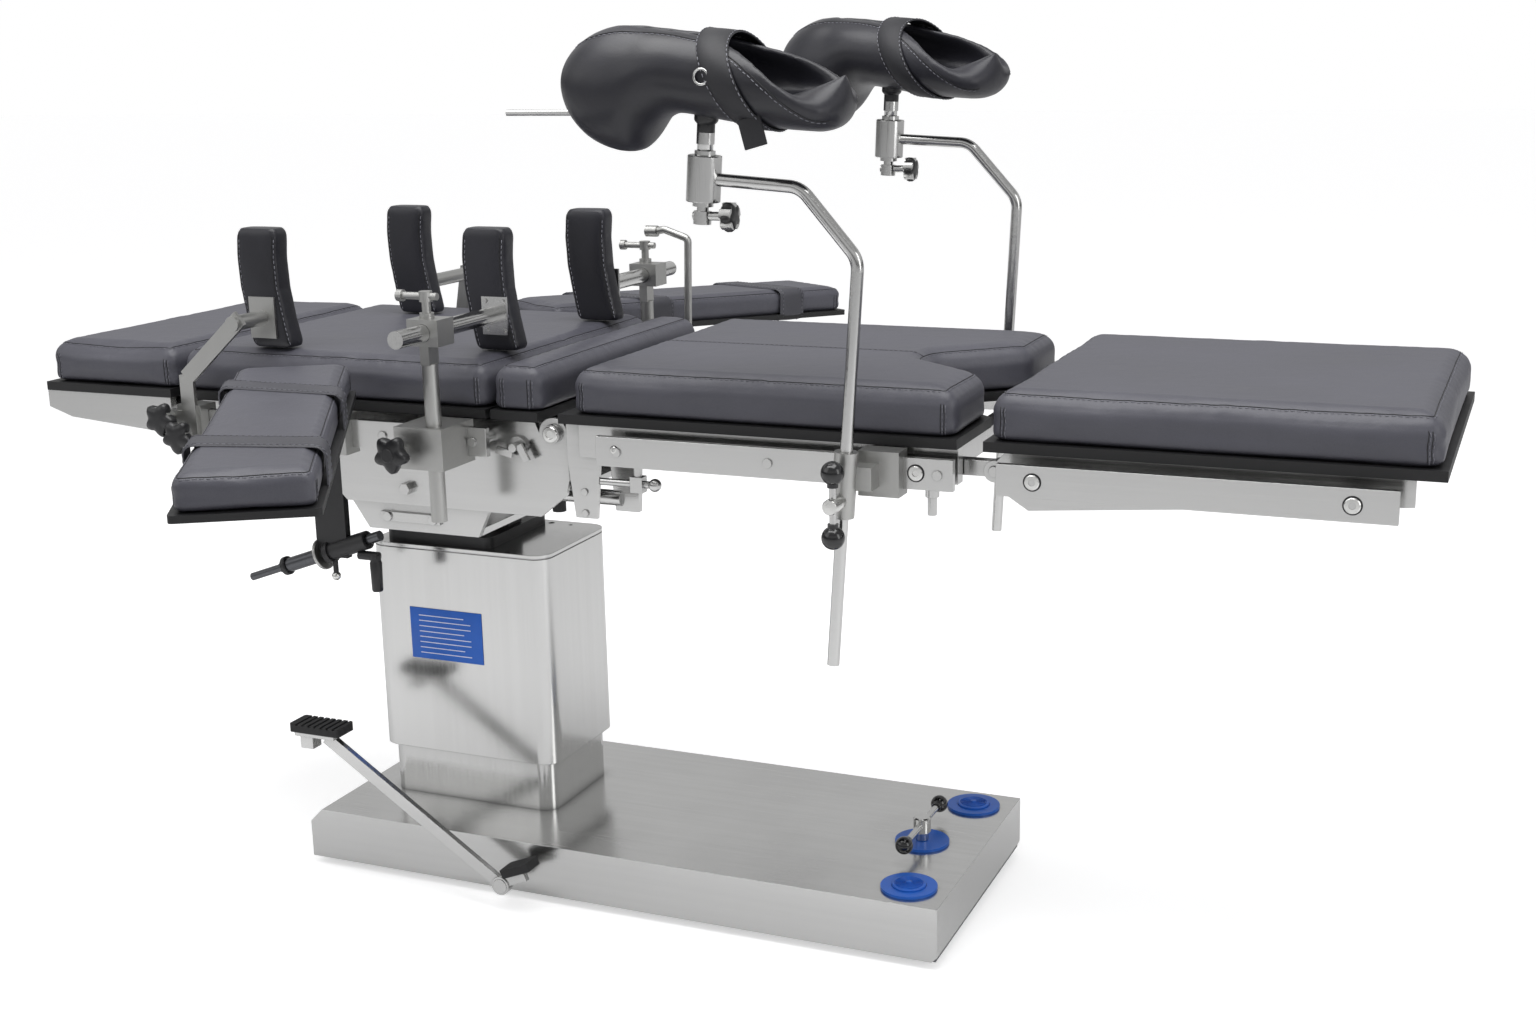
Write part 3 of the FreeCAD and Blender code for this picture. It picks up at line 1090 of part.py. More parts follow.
def make_leg_supports():
    clamps = []
    for side in (-1, 1):
        here = side_name(side)
        x0 = f"pole_{here}_x"
        z0 = f"pole_{here}_z"
        jaw = rail_clamp(f"leg_clamp_{here}", side, f"{x0} + 6", f"{x0} + 60", "rail_y + 26", "0")
        bridge = block(f"leg_bridge_{here}", ("50", "36", "30"),
                       (f"{x0} - 16", width_at(side, "pole_y - 36", "36"), f"{z0} - 25"))
        sleeve = leaning(f"leg_socket_{here}", side, "socket_radius", "84", "0", "-60")
        spindle = rod(f"leg_spindle_{here}", "9", "14",
                      (f"{x0} - 3", width_at(side, "pole_y + 9", "14"), f"{z0} - 37"), "y")
        bore = leaning(f"leg_bore_{here}", side, "pole_radius + running", "200", "0", "-110")
        clamps.append(cut(f"leg_clamp_made_{here}",
                          fuse(f"leg_clamp_solid_{here}", [jaw, bridge, sleeve, spindle]),
                          [bore]))

        place = leg_support_frame(side)
        points = [place(0, -SIZES["pole_below"]), place(0, SIZES["pole_above"]),
                  place(-SIZES["pole_reach"], SIZES["pole_top"]),
                  place(-SIZES["barrel_reach"] + SIZES["barrel_radius"] - 4, SIZES["pole_top"])]
        pole = bent_tube(f"pole_{here}", points, "pole_radius", SIZES["pole_bend"])
        barrel = leaning(f"barrel_{here}", side, "barrel_radius", "barrel_height", "-barrel_reach",
                         "pole_top - barrel_height / 2")
        cap = leaning(f"barrel_cap_{here}", side, "barrel_radius * 0.62", "barrel_height + 12",
                      "-barrel_reach",
                      "pole_top - barrel_height / 2 - 6")
        stem_bore = leaning(f"stem_bore_{here}", side, "stem_radius + running", "barrel_height * 2",
                            "-barrel_reach", "pole_top - barrel_height")
        node(cut(f"pole_made_{here}", fuse(f"pole_solid_{here}", [pole, barrel, cap]), [stem_bore]),
             f"leg_pole_{here}")

        stem = leaning(f"stem_{here}", side, "stem_radius", "stem_below + stem_above", "-barrel_reach",
                       "pole_top - stem_below")
        collar = leaning(f"stem_collar_{here}", side, "stem_radius * 1.5", "14", "-barrel_reach",
                         "pole_top + 42")
        low = place(-SIZES["barrel_reach"], SIZES["pole_top"] - SIZES["stem_below"] + 8)
        low_x, low_z = low.x, low.z
        heel = leaning(f"stem_heel_{here}", side, "stem_radius * 1.5", "16", "-barrel_reach",
                       "pole_top - stem_below - 2")
        cross = rod(f"stem_cross_{here}", "5.5", "42", (f"{low_x - 12}", f"{side} * pole_y", f"{low_z}"), "x")
        knob = star_knob(f"stem_knob_{here}", (f"{low_x + 29}", f"{side} * pole_y", f"{low_z}"),
                         Rotation(AXES["y"], 90), "knob_radius * 0.9")
        pieces = [stem, collar, heel, cross, knob]
        made = fuse(f"stem_made_{here}", pieces)
        if side < 0:
            tail = place(-488, 402)
            prop = rod("crutch_prop", "crutch_rod", "124", (f"{tail.x}", f"{tail.y}", f"{tail.z}"), "x")
            made = group(f"stem_group_{here}", [made, prop])
        node(made, f"crutch_stem_{here}")
        make_crutch(side, place)

        lever_y = "pole_y + 9 + 14 + running"
        hub = rod(f"lever_hub_{here}", "10", "26",
                  (f"{x0} - 3", width_at(side, lever_y, "26"), f"{z0} - 37"), "y")
        bar_y = f"{side} * (pole_y + 9 + 14 + running + 14)"
        bar = rod(f"lever_bar_{here}", "5", "lever_half * 2", (f"{x0} - 3", bar_y, f"{z0} - 37 - lever_half"))
        balls = [ball(f"lever_ball_{here}_{number}", "ball_radius",
                      (f"{x0} - 3", bar_y, f"{z0} - 37 + {sign} * lever_half"))
                 for number, sign in enumerate((-1, 1))]
        node(fuse(f"lever_made_{here}", [hub, bar] + balls), f"leg_lever_{here}")
    node(group("leg_clamps_made", clamps), "leg_clamps")


def oval(centre, half_width, half_height):
    """A closed ellipse standing across the table."""
    if half_width > half_height:
        curve = Part.Ellipse(Vector(), half_width, half_height)
        turn = Rotation(AXES["y"], AXES["z"], AXES["x"], "XYZ")
    else:
        curve = Part.Ellipse(Vector(), half_height, half_width)
        turn = Rotation(AXES["z"], -AXES["y"], AXES["x"], "XYZ")
    ring = Part.Wire([curve.toShape()])
    ring.Placement = Placement(centre, turn)
    return ring


def make_crutch(side, place):
    """The padded knee crutch: a hooded hollow over the knee that opens into a trough for the calf."""
    half = SIZES["crutch_half_width"]
    wall = SIZES["crutch_wall"]
    # across, middle height, half height, share of the half width
    stations = ((-398, 444, 22, 0.45), (-385, 442, 52, 0.7), (-358, 446, 74, 0.9), (-322, 452, 80, 1.0),
                (-285, 460, 72, 1.0), (-250, 474, 58, 0.98), (-200, 476, 54, 0.97), (-140, 473, 54, 1.0),
                (-80, 471, 52, 1.04), (-30, 464, 42, 1.0), (0, 456, 24, 0.8))
    outer = [oval(place(u, w), half * share, high) for u, w, high, share in stations]
    hull = Part.makeLoft(outer, True, False)
    inner = []
    for u, w, high, share in stations[3:]:
        open_up = min(1.0, (u - stations[3][0]) / 120.0)
        centre = place(u, w + 14 + 26 * open_up)
        inner.append(oval(centre, half * share - wall, max(high - wall * 0.6, 12)))
    last = place(40, 500)
    inner.append(oval(last, half * 0.8, 30))
    trough = Part.makeLoft(inner, True, False)
    shell = hull.cut(trough)
    here = side_name(side)
    crutch = doc.addObject("Part::Feature", f"crutch_{here}")
    crutch.Shape = shell
    node(crutch, f"crutch_shell_{here}")


def make_drive():
    bracket = upright("drive_hanger", [("pivot_x - 200", "pivot_z - 130"), ("pivot_x - 146", "pivot_z - 130"),
                                       ("pivot_x - 146", BEAM_Z), ("pivot_x - 200", BEAM_Z)],
                      "side_y - 47", "12", -1)
    shelf = block("drive_shelf", ("54", "beam_width + 22", "8"),
                  ("pivot_x - 200", "-side_y", f"{BEAM_Z} - 8"))
    angle = 19.6
    lean = Rotation(AXES["y"], 90 - angle)
    flange = rod("drive_flange", "17", "9", ("pivot_x - 164 - 22 * cos(19.6)", "-side_y + 41",
                                             "pivot_z - 118 - 22 * sin(19.6)"), rotation=lean)
    housing = rod("drive_housing", "14", "70", ("pivot_x - 164 - 14 * cos(19.6)", "-side_y + 41",
                                                "pivot_z - 118 - 14 * sin(19.6)"), rotation=lean)
    tee = rod("drive_tee", "7", "34", ("pivot_x - 128", "-side_y + 41", "pivot_z - 124"), "x")
    handle = rod("drive_handle", "8", "54", ("pivot_x - 100", "-side_y + 41", "pivot_z - 176"))
    pin = rod("drive_stop", "4", "30", ("pivot_x - 173", "-side_y + 41", "pivot_z - 160"))
    bore = rod("drive_bore", "8.3", "140", ("pivot_x - 164 - 50 * cos(19.6)", "-side_y + 41",
                                            "pivot_z - 118 - 50 * sin(19.6)"), rotation=lean)
    node(cut("drive_bracket_made", fuse("drive_solid", [bracket, shelf, flange, housing, tee, handle, pin]),
             [bore]),
         "drive_bracket")
    reach = 176
    start = (f"pivot_x - 164 - {reach} * cos(19.6)", "-side_y + 41", f"pivot_z - 118 - {reach} * sin(19.6)")
    thin = rod("drive_thin", "6", "100", start, rotation=lean)
    sleeve = rod("drive_sleeve", "11", "62", (f"pivot_x - 164 - {reach - 71} * cos(19.6)", "-side_y + 41",
                                              f"pivot_z - 118 - {reach - 71} * sin(19.6)"), rotation=lean)
    core = rod("drive_core", "8", f"{reach + 20}",
               (f"pivot_x - 164 - {reach - 60} * cos(19.6)", "-side_y + 41",
                                                    f"pivot_z - 118 - {reach - 60} * sin(19.6)"),
                                                    rotation=lean)
    node(fuse("drive_made", [thin, sleeve, core]), "drive_shaft")


make_base()
make_pump()
make_column()
make_saddle()
make_body_section()
make_bridge()
make_head()
make_seat()
make_leg()
make_rail_clamps()
make_arm_boards()
make_shoulder_supports()
make_body_supports()
make_leg_supports()
make_drive()
doc.recompute()

faults = [thing.Name for thing in doc.Objects if {"Invalid", "Error"} & set(thing.State)]
if faults:
    raise RuntimeError(f"these objects failed: {faults}")
os.makedirs("parts", exist_ok=True)
for piece in NODES:
    shape = piece.Shape
    if shape.isNull() or not shape.isValid() or not shape.Solids:
        raise RuntimeError(f"{piece.Label} is not a valid solid")
    shape.exportStep(f"parts/{piece.Label}.step")
    print(f"{piece.Label}: {len(shape.Solids)} solids, {shape.Volume / 1000:.1f} cm3")
print(f"{len(NODES)} nodes")
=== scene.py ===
# %% [markdown]
# # An operating table, dressed around its solids
# The solids of the table come in as a frame. Steel parts keep their solids and get a real finish. Soft
# parts, knobs, straps and small fittings are built here, because their forms are rounder and finer than
# the solids show. Lengths are written in millimetres and turned to metres where the mesh is made.

# %% Load the frame
import math

import bmesh
import bpy
from mathutils import Matrix, Vector, noise
from mathutils.bvhtree import BVHTree


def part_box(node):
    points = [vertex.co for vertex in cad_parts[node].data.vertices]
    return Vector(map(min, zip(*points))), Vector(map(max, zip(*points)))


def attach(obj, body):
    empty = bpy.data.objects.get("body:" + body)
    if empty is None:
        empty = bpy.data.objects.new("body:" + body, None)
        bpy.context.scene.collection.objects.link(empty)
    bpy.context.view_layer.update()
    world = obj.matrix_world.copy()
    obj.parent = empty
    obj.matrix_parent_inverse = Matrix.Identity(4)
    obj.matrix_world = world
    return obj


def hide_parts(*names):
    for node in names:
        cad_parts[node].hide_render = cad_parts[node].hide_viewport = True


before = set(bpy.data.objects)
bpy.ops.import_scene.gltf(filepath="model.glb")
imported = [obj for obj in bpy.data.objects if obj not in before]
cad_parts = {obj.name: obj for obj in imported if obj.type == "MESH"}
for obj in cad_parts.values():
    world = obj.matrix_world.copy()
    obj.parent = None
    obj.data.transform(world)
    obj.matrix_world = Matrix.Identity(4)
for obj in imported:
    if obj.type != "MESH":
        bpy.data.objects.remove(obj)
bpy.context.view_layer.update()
MM = 0.001


# %% [markdown]
# ## Colours and nodes
# Colours are given as sRGB hex values, and a shader works in linear light, so one function turns
# one into the other. One small function adds a node, sets it up and links it, which keeps each material
# short enough to read as a recipe.

# %% Colour and node helpers
def linear(code):
    """A hex colour as linear red, green, blue and alpha."""
    parts = [int(code[place:place + 2], 16) / 255 for place in (1, 3, 5)]
    return (*[part / 12.92 if part <= 0.04045 else ((part + 0.055) / 1.055) ** 2.4 for part in parts], 1.0)


def set_all(thing, **settings):
    """Sets several properties of a thing, and gives it back."""
    for name, value in settings.items():
        setattr(thing, name, value)
    return thing


def fill(tree, sockets, values):
    """Fills sockets with plain values or links."""
    for name, value in values.items():
        if isinstance(value, bpy.types.NodeSocket):
            tree.links.new(value, sockets[name])
        else:
            sockets[name].default_value = value


def add_node(tree, kind, inputs=None, **settings):
    """A node with its settings, and its inputs filled with values or links."""
    made = set_all(tree.nodes.new(kind), **settings)
    fill(tree, made.inputs, inputs or {})
    return made


def new_finish(name, **values):
    """A material with its shader's plain values set."""
    finish = bpy.data.materials.new(name)
    finish.use_nodes = True
    shader = finish.node_tree.nodes["Principled BSDF"]
    for socket, value in values.items():
        shader.inputs[socket.replace("_", " ")].default_value = value
    return finish, finish.node_tree, shader


def place_in_mm(tree, stretch=(1, 1, 1)):
    """The point on the object in millimetres, stretched along each axis."""
    here = add_node(tree, "ShaderNodeTexCoord")
    scaled = add_node(tree, "ShaderNodeMapping", {"Vector": here.outputs["Object"],
                                                  "Scale": [1000 * share for share in stretch]})
    return scaled.outputs["Vector"]


def mix_colours(tree, amount, first, second):
    """Two colours mixed; the node has its colours at sockets 6 and 7."""
    mixed = add_node(tree, "ShaderNodeMix", {0: amount, 6: first, 7: second}, data_type="RGBA")
    return mixed.outputs[2]


def toned(shade, share, lift=0.0):
    """A hex colour made darker or lighter."""
    return [min(1.0, value * share + lift) for value in linear(shade)[:3]] + [1.0]


def steps(tree, value, low, high, out_low, out_high):
    """A value's span moved to another span."""
    return add_node(tree, "ShaderNodeMapRange", {"Value": value, "From Min": low, "From Max": high,
                                                 "To Min": out_low, "To Max": out_high}).outputs["Result"]


def noise_in(tree, place, size, detail, **more):
    """Noise with features of a size in millimetres."""
    inputs = {"Vector": place, "Scale": 1 / size, "Detail": detail, **more}
    return add_node(tree, "ShaderNodeTexNoise", inputs).outputs["Fac"]


def bumped(tree, height, strength, deep, below=None):
    """The normal of a bump, on top of another one where that is given."""
    inputs = {"Height": height, "Strength": strength, "Distance": deep}
    if below is not None:
        inputs["Normal"] = below
    return add_node(tree, "ShaderNodeBump", inputs).outputs["Normal"]


# %% [markdown]
# ## Brushed stainless steel
# Covers and frames are 304 stainless sheet, ground with a 180 grit belt that leaves fine parallel lines.
# The lines catch light as long soft streaks. Real lines are about 0.1 mm apart, too fine for this render,
# so they are drawn 1 mm apart with broader 9 mm streaks over them. Noise stretched along the brushing
# gives both without any image. Sheet edges are broken with a file. The recipe paints shade into the colour
# close to another face, where sheets meet and in corners, and rounds the edges in the shading alone.

# %% Brushed steel
BRUSH_LINE = 1.0
BRUSH_STREAK = 9.0
# how much of its real length the noise has along the brushing, so that it draws out into lines
BRUSH_PULL = 0.004
SHEET_CLOUD = 140.0
# how far painted shade reaches from a nearby face, and how far a sheet's edge is broken
PAINTED_SHADE_REACH = 22.0
EDGE_ROUND = 1.2


def brushed_steel(name, along, shade="#c9c9c8", rough=0.2):
    """Belt ground stainless sheet, its lines running along one axis."""
    finish, tree, shader = new_finish(name, Metallic=1.0)
    place = place_in_mm(tree, [BRUSH_PULL if axis == along else 1.0 for axis in "xyz"])
    lines = noise_in(tree, place, BRUSH_LINE, 3.0)
    streaks = noise_in(tree, place, BRUSH_STREAK, 2.0)
    clouds = noise_in(tree, place_in_mm(tree), SHEET_CLOUD, 2.0)
    tone = mix_colours(tree, steps(tree, streaks, 0.3, 0.7, 0.0, 1.0), toned(shade, 0.965), linear(shade))
    # painted shade: ambient occlusion darkens the colour towards #4a4a4a close to another face, where sheets
    # meet and in corners
    painted_shade_occlusion = add_node(tree, "ShaderNodeAmbientOcclusion", {"Distance": PAINTED_SHADE_REACH * MM}, samples=4)
    painted_shade_amount = steps(tree, painted_shade_occlusion.outputs["AO"], 0.25, 0.85, 0.65, 0.0)
    grind = add_node(tree, "ShaderNodeMath", {
        0: steps(tree, lines, 0.3, 0.7, -0.05, 0.05),
        1: steps(tree, clouds, 0.3, 0.7, rough - 0.03, rough + 0.04)}, operation="ADD")
    edge = add_node(tree, "ShaderNodeBevel", {"Radius": EDGE_ROUND * MM}, samples=4)
    fill(tree, shader.inputs, {
        "Base Color": mix_colours(tree, painted_shade_amount, tone, linear("#4a4a4a")),
        "Roughness": grind.outputs[0],
        "Normal": bumped(tree, lines, 0.12, 0.0002, edge.outputs["Normal"])})
    return finish


steel_x = brushed_steel("stainless_sheet_brushed_lengthways", "x")
steel_z = brushed_steel("stainless_sheet_brushed_upright", "z", rough=0.17)
print("brushed steel", steel_x.name, steel_z.name)


# %% [markdown]
# ## Turned and polished steel
# Posts, rods and screws are 304 bar, turned or centreless ground and then polished. Their highlights are
# narrow and bright, with faint rings from the tool. A low roughness with a little noise shows that.

# %% Polished steel
TOOL_MARK = 6.0


def polished_steel(name, shade, rough):
    finish, tree, shader = new_finish(name, Metallic=1.0, Base_Color=linear(shade))
    marks = noise_in(tree, place_in_mm(tree), TOOL_MARK, 4.0)
    fill(tree, shader.inputs, {
        "Roughness": steps(tree, marks, 0.3, 0.7, rough - 0.04, rough + 0.06),
        "Normal": bumped(tree, marks, 0.05, 0.0003)})
    return finish


polished = polished_steel("stainless_bar_polished", "#c4c4c3", 0.17)
blasted = polished_steel("stainless_casting_bead_blasted", "#b2b2b0", 0.38)
screw_steel = polished_steel("zinc_plated_screw_steel", "#d6d6d4", 0.22)
print("bar and screw steels made")


# %% [markdown]
# ## Leatherette
# The cushions are covered in polyurethane leatherette: a fabric with a printed skin. Its grain is small
# round pebbles about 1 mm across with creases between them, and it shines softly. A cell pattern with
# a little wrinkling gives the grain, and the colour is darkened in the creases as painted shade. Slow
# noise varies the tone and the shine as hands and wiping cloths do.

# %% Leatherette
PEBBLE = 1.3
CREASE = 46.0
WEAR = 170.0


def leatherette(name, shade, worn, rough, wrinkle=0.25):
    finish, tree, shader = new_finish(name, IOR=1.5, Specular_IOR_Level=0.42)
    place = place_in_mm(tree)
    cells = add_node(tree, "ShaderNodeTexVoronoi", {"Vector": place, "Scale": 1 / PEBBLE},
                     feature="DISTANCE_TO_EDGE").outputs["Distance"]
    fine = noise_in(tree, place, PEBBLE * 2.3, 4.0)
    slow = noise_in(tree, place, WEAR, 3.0, Roughness=0.6)
    creases = noise_in(tree, place, CREASE, 5.0, Roughness=0.62, Distortion=0.6)
    tone = mix_colours(tree, steps(tree, slow, 0.35, 0.65, 0.0, 1.0), linear(shade), linear(worn))
    grain = add_node(tree, "ShaderNodeMath", {0: cells, 1: fine}, operation="ADD")
    skin = bumped(tree, grain.outputs[0], 0.22, 0.0004)
    # painted shade: the colour darkens towards 55 per cent of the shade in the creases between the pebbles
    fill(tree, shader.inputs, {
        "Base Color": mix_colours(tree, steps(tree, cells, 0.0, 0.12, 0.35, 0.0), tone, toned(shade, 0.55)),
        "Roughness": steps(tree, slow, 0.3, 0.7, rough - 0.05, rough + 0.07),
        "Normal": bumped(tree, creases, wrinkle, 0.004, skin)})
    return finish


cover_grey = leatherette("leatherette_charcoal", "#4c4c54", "#54545c", 0.44)
cover_black = leatherette("leatherette_near_black", "#222227", "#292930", 0.34, wrinkle=0.12)
strap_grey = leatherette("leatherette_strap", "#3c3c42", "#4a4a50", 0.5, wrinkle=0.1)
strap_black = leatherette("webbing_faced_with_leatherette", "#222226", "#2a2a2e", 0.55, wrinkle=0.1)
print("leatherette pebbles of", PEBBLE, "mm")


# %% [markdown]
# ## Plastics, rubber, paint and thread
# Knobs and balls are moulded ABS and phenolic, which come out of the mould with a satin skin. The treads
# are rubber, dull and dusty. Brackets are steel with black powder coat, which has a fine orange peel.
# The boards under the cushions are black laminate, so X-rays pass through them. The discs are blue ABS.

# %% Plastics and coatings
DUST = 60.0


def moulded(name, shade, rough, peel, depth, coat=0.0):
    """A coloured skin with a slight unevenness a few millimetres across."""
    finish, tree, shader = new_finish(name, IOR=1.5, Coat_Weight=coat)
    place = place_in_mm(tree)
    dust = noise_in(tree, place, DUST, 4.0)
    dusty = steps(tree, dust, 0.4, 0.8, 0.0, 0.5)
    fill(tree, shader.inputs, {
        "Base Color": mix_colours(tree, dusty, linear(shade), toned(shade, 1.35, 0.004)),
        "Roughness": steps(tree, dust, 0.3, 0.7, rough - 0.04, rough + 0.05),
        "Normal": bumped(tree, noise_in(tree, place, peel, 3.0), depth, 0.0004)})
    return finish


knob_black = moulded("abs_knob_moulded_black", "#1b1b1d", 0.36, 2.5, 0.12)
ball_black = moulded("phenolic_ball_black", "#141416", 0.16, 3.0, 0.03, coat=0.3)
tread_rubber = moulded("rubber_tread_black", "#1d1d1e", 0.7, 1.2, 0.4)
powder_black = moulded("steel_powder_coated_black", "#1c1c1e", 0.45, 1.6, 0.2)
laminate = moulded("laminate_board_black", "#0d0d0f", 0.52, 4.0, 0.05)
gunmetal = polished_steel("steel_shaft_blackened", "#5c5d60", 0.3)
blue_plastic = moulded("abs_moulded_blue", "#1a5fc2", 0.38, 3.0, 0.06)
white_ink = moulded("screen_ink_white", "#dfe6f2", 0.6, 2.0, 0.05)
thread = moulded("polyester_thread_grey", "#7c7c84", 0.6, 1.0, 0.3)
thread_dark = moulded("polyester_thread_dark", "#6a6a72", 0.6, 1.0, 0.3)
casting = moulded("iron_casting_painted_grey", "#55575a", 0.55, 3.0, 0.35)
# painted shadow: a near black colour for the seam folds and for the rings round the rail screws
seam_shadow = moulded("seam_fold_shadow", "#17171a", 0.7, 2.0, 0.1)
print("plastics and coatings made")


# %% [markdown]
# ## Finishes for the solids that stay
# A solid whose shape is right keeps it, and only takes a finish. The brush direction follows how each
# sheet was ground: along the rails and beams, upright on the shrouds.

# %% Give the solids their finishes
STAYING = {
    steel_x: ("base_cover", "main_frame", "side_plates", "back_rails", "seat_rails", "seat_frame",
              "leg_frame",
              "head_frame", "saddle", "pump_lever"),
    steel_z: ("lower_shroud", "upper_shroud"),
    gunmetal: ("drive_shaft",),
    polished: ("lift_ram", "lift_cylinder", "leg_pole_near", "leg_pole_far", "body_arm_near",
               "body_arm_far", "crutch_stem_near", "crutch_stem_far"),
    blasted: ("support_clamps", "leg_clamps", "body_post_near", "body_post_far", "shoulder_bar_near",
              "shoulder_bar_far"),
    powder_black: ("pivot_block", "drive_bracket"),
    laminate: ("head_plate", "back_plate", "bridge_plate", "seat_plate", "leg_plate", "arm_board_near",
               "arm_board_far"),
    casting: ("base_frame",),
    tread_rubber: ("floor_feet", "pump_pads"),
    blue_plastic: ("disc_collars",),
}
for finish, names in STAYING.items():
    for name in names:
        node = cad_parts[name]
        node.data.materials.clear()
        node.data.materials.append(finish)
print("finished solids", sum(len(names) for names in STAYING.values()))


# %% [markdown]
# ## Making meshes
# These helpers turn points in millimetres into smooth meshes: one from plain vertices and faces, one for
# turned pieces such as knobs and screws, one for small blocks with rounded edges, and one for tubes along
# a path. Turned pieces and tubes lay their points in rings, and one function makes the faces between them.
# Shading is smooth except at edges sharper than a limit, which keeps flat faces flat.

# %% Mesh helpers
def shown(name, data):
    """A new object in the scene around a mesh, a lamp or a camera."""
    made = bpy.data.objects.new(name, data)
    bpy.context.collection.objects.link(made)
    return made


def reshaped(mesh, *jobs):
    """A mesh opened, worked on by each job in turn, and written back."""
    shape = bmesh.new()
    shape.from_mesh(mesh)
    for job in jobs:
        job(shape)
    shape.to_mesh(mesh)
    shape.free()


def faces_out(shape):
    bmesh.ops.recalc_face_normals(shape, faces=shape.faces)


def points_welded(shape):
    bmesh.ops.remove_doubles(shape, verts=shape.verts, dist=1e-6)


def caps_split(shape):
    bmesh.ops.triangulate(shape, faces=[face for face in shape.faces if len(face.verts) > 4])


def all_smooth(mesh):
    for face in mesh.polygons:
        face.use_smooth = True


def made_mesh(name, points, faces, finish):
    """An object from points in millimetres."""
    mesh = bpy.data.meshes.new(name)
    mesh.from_pydata([[value * MM for value in point] for point in points], [], faces)
    mesh.validate()
    reshaped(mesh, faces_out)
    mesh.materials.append(finish)
    all_smooth(mesh)
    return shown(name, mesh)


def apply_all(piece):
    """Works the piece's modifiers into its mesh."""
    graph = bpy.context.evaluated_depsgraph_get()
    graph.update()
    done = bpy.data.meshes.new_from_object(piece.evaluated_get(graph))
    piece.modifiers.clear()
    old = piece.data
    piece.data = done
    bpy.data.meshes.remove(old)


def shade_by_angle(piece, limit):
    """Smooth shading that stays crisp at edges sharper than a limit in degrees."""
    def mark(shape):
        for edge in shape.edges:
            if len(edge.link_faces) == 2:
                edge.smooth = edge.calc_face_angle(0) < math.radians(limit)
        for face in shape.faces:
            face.smooth = True

    reshaped(piece.data, mark)


def moved(piece, place, turn=None):
    """The piece's points turned and then moved to a place in millimetres."""
    there = Matrix.Translation(Vector(place) * MM)
    piece.data.transform(there @ (turn.to_4x4() if turn else Matrix()))
    return piece


def joined(name, pieces):
    """Several pieces as one object, each keeping its finish."""
    shape = bmesh.new()
    finishes = []
    for piece in pieces:
        slots = []
        for finish in piece.data.materials:
            if finish not in finishes:
                finishes.append(finish)
            slots.append(finishes.index(finish))
        before = len(shape.faces)
        shape.from_mesh(piece.data)
        shape.faces.ensure_lookup_table()
        for face in shape.faces[before:]:
            face.material_index = slots[face.material_index]
        bpy.data.objects.remove(piece)
    mesh = bpy.data.meshes.new(name)
    shape.to_mesh(mesh)
    shape.free()
    for finish in finishes:
        mesh.materials.append(finish)
    return shown(name, mesh)


def aim(direction):
    """The turn that takes +Z to a direction."""
    return Vector((0, 0, 1)).rotation_difference(Vector(direction)).to_matrix()


def circle(count):
    """The cosine and sine of even steps round a circle."""
    angles = [2 * math.pi * step / count for step in range(count)]
    return [(math.cos(angle), math.sin(angle)) for angle in angles]


def ring_faces(rings, count, closed=False, capped=True):
    """Quads between neighbouring rings of points, and a cap at each open end."""
    faces = []
    for ring in range(rings if closed else rings - 1):
        here, above = ring * count, (ring + 1) % rings * count
        for step in range(count):
            ahead = (step + 1) % count
            faces.append((here + step, here + ahead, above + ahead, above + step))
    if capped and not closed:
        faces.append(tuple(reversed(range(count))))
        faces.append(tuple((rings - 1) * count + step for step in range(count)))
    return faces


def turned(name, profile, place, direction, finish, around=40, crisp=40):
    """A turned piece from (radius, height) pairs, its axis along a direction."""
    points = [(radius * c, radius * s, height) for radius, height in profile for c, s in circle(around)]
    piece = made_mesh(name, points, ring_faces(len(profile), around), finish)
    reshaped(piece.data, points_welded, faces_out)
    shade_by_angle(piece, crisp)
    return moved(piece, place, aim(direction))


def small_block(name, size, place, finish, edge=1.2, turn=None):
    """A little block about its middle, with rounded edges."""
    half = [value / 2 for value in size]
    points = [(x * half[0], y * half[1], z * half[2]) for x in (-1, 1) for y in (-1, 1) for z in (-1, 1)]
    faces = [(0, 1, 3, 2), (4, 6, 7, 5), (0, 4, 5, 1), (2, 3, 7, 6), (0, 2, 6, 4), (1, 5, 7, 3)]
    piece = made_mesh(name, points, faces, finish)
    set_all(piece.modifiers.new("edges", "BEVEL"), width=edge * MM, segments=3, limit_method="ANGLE",
            angle_limit=math.radians(32))
    apply_all(piece)
    shade_by_angle(piece, 50)
    return moved(piece, place, turn)


def tube_along(name, path, radius, finish, around=10, closed=False, normals=None):
    """A tube through points in millimetres."""
    points = []
    count = len(path)
    side = None
    for index, point in enumerate(path):
        before = path[index - 1] if closed or index else path[0]
        after = path[(index + 1) % count] if closed or index < count - 1 else path[-1]
        ahead = (Vector(after) - Vector(before)).normalized()
        if normals:
            side = Vector(normals[index])
        elif side is None:
            side = ahead.orthogonal().normalized()
        side = (side - ahead * side.dot(ahead)).normalized()
        other = ahead.cross(side)
        points += [Vector(point) + side * (radius * c) + other * (radius * s) for c, s in circle(around)]
    return made_mesh(name, points, ring_faces(count, around, closed), finish)


print("mesh helpers ready")


# %% [markdown]
# ## Cushions
# A cushion is moulded foam in a sewn cover. Its top crowns a little, its edges are rounded where the
# seam pulls the cover tight, and its sides draw in between the corners. It is built as stacked outlines,
# remeshed to even cells, and then blown up slightly as cloth under pressure, so that the cover's tension
# shapes it. A cap on how far a point may move keeps it inside the cushion's real size.

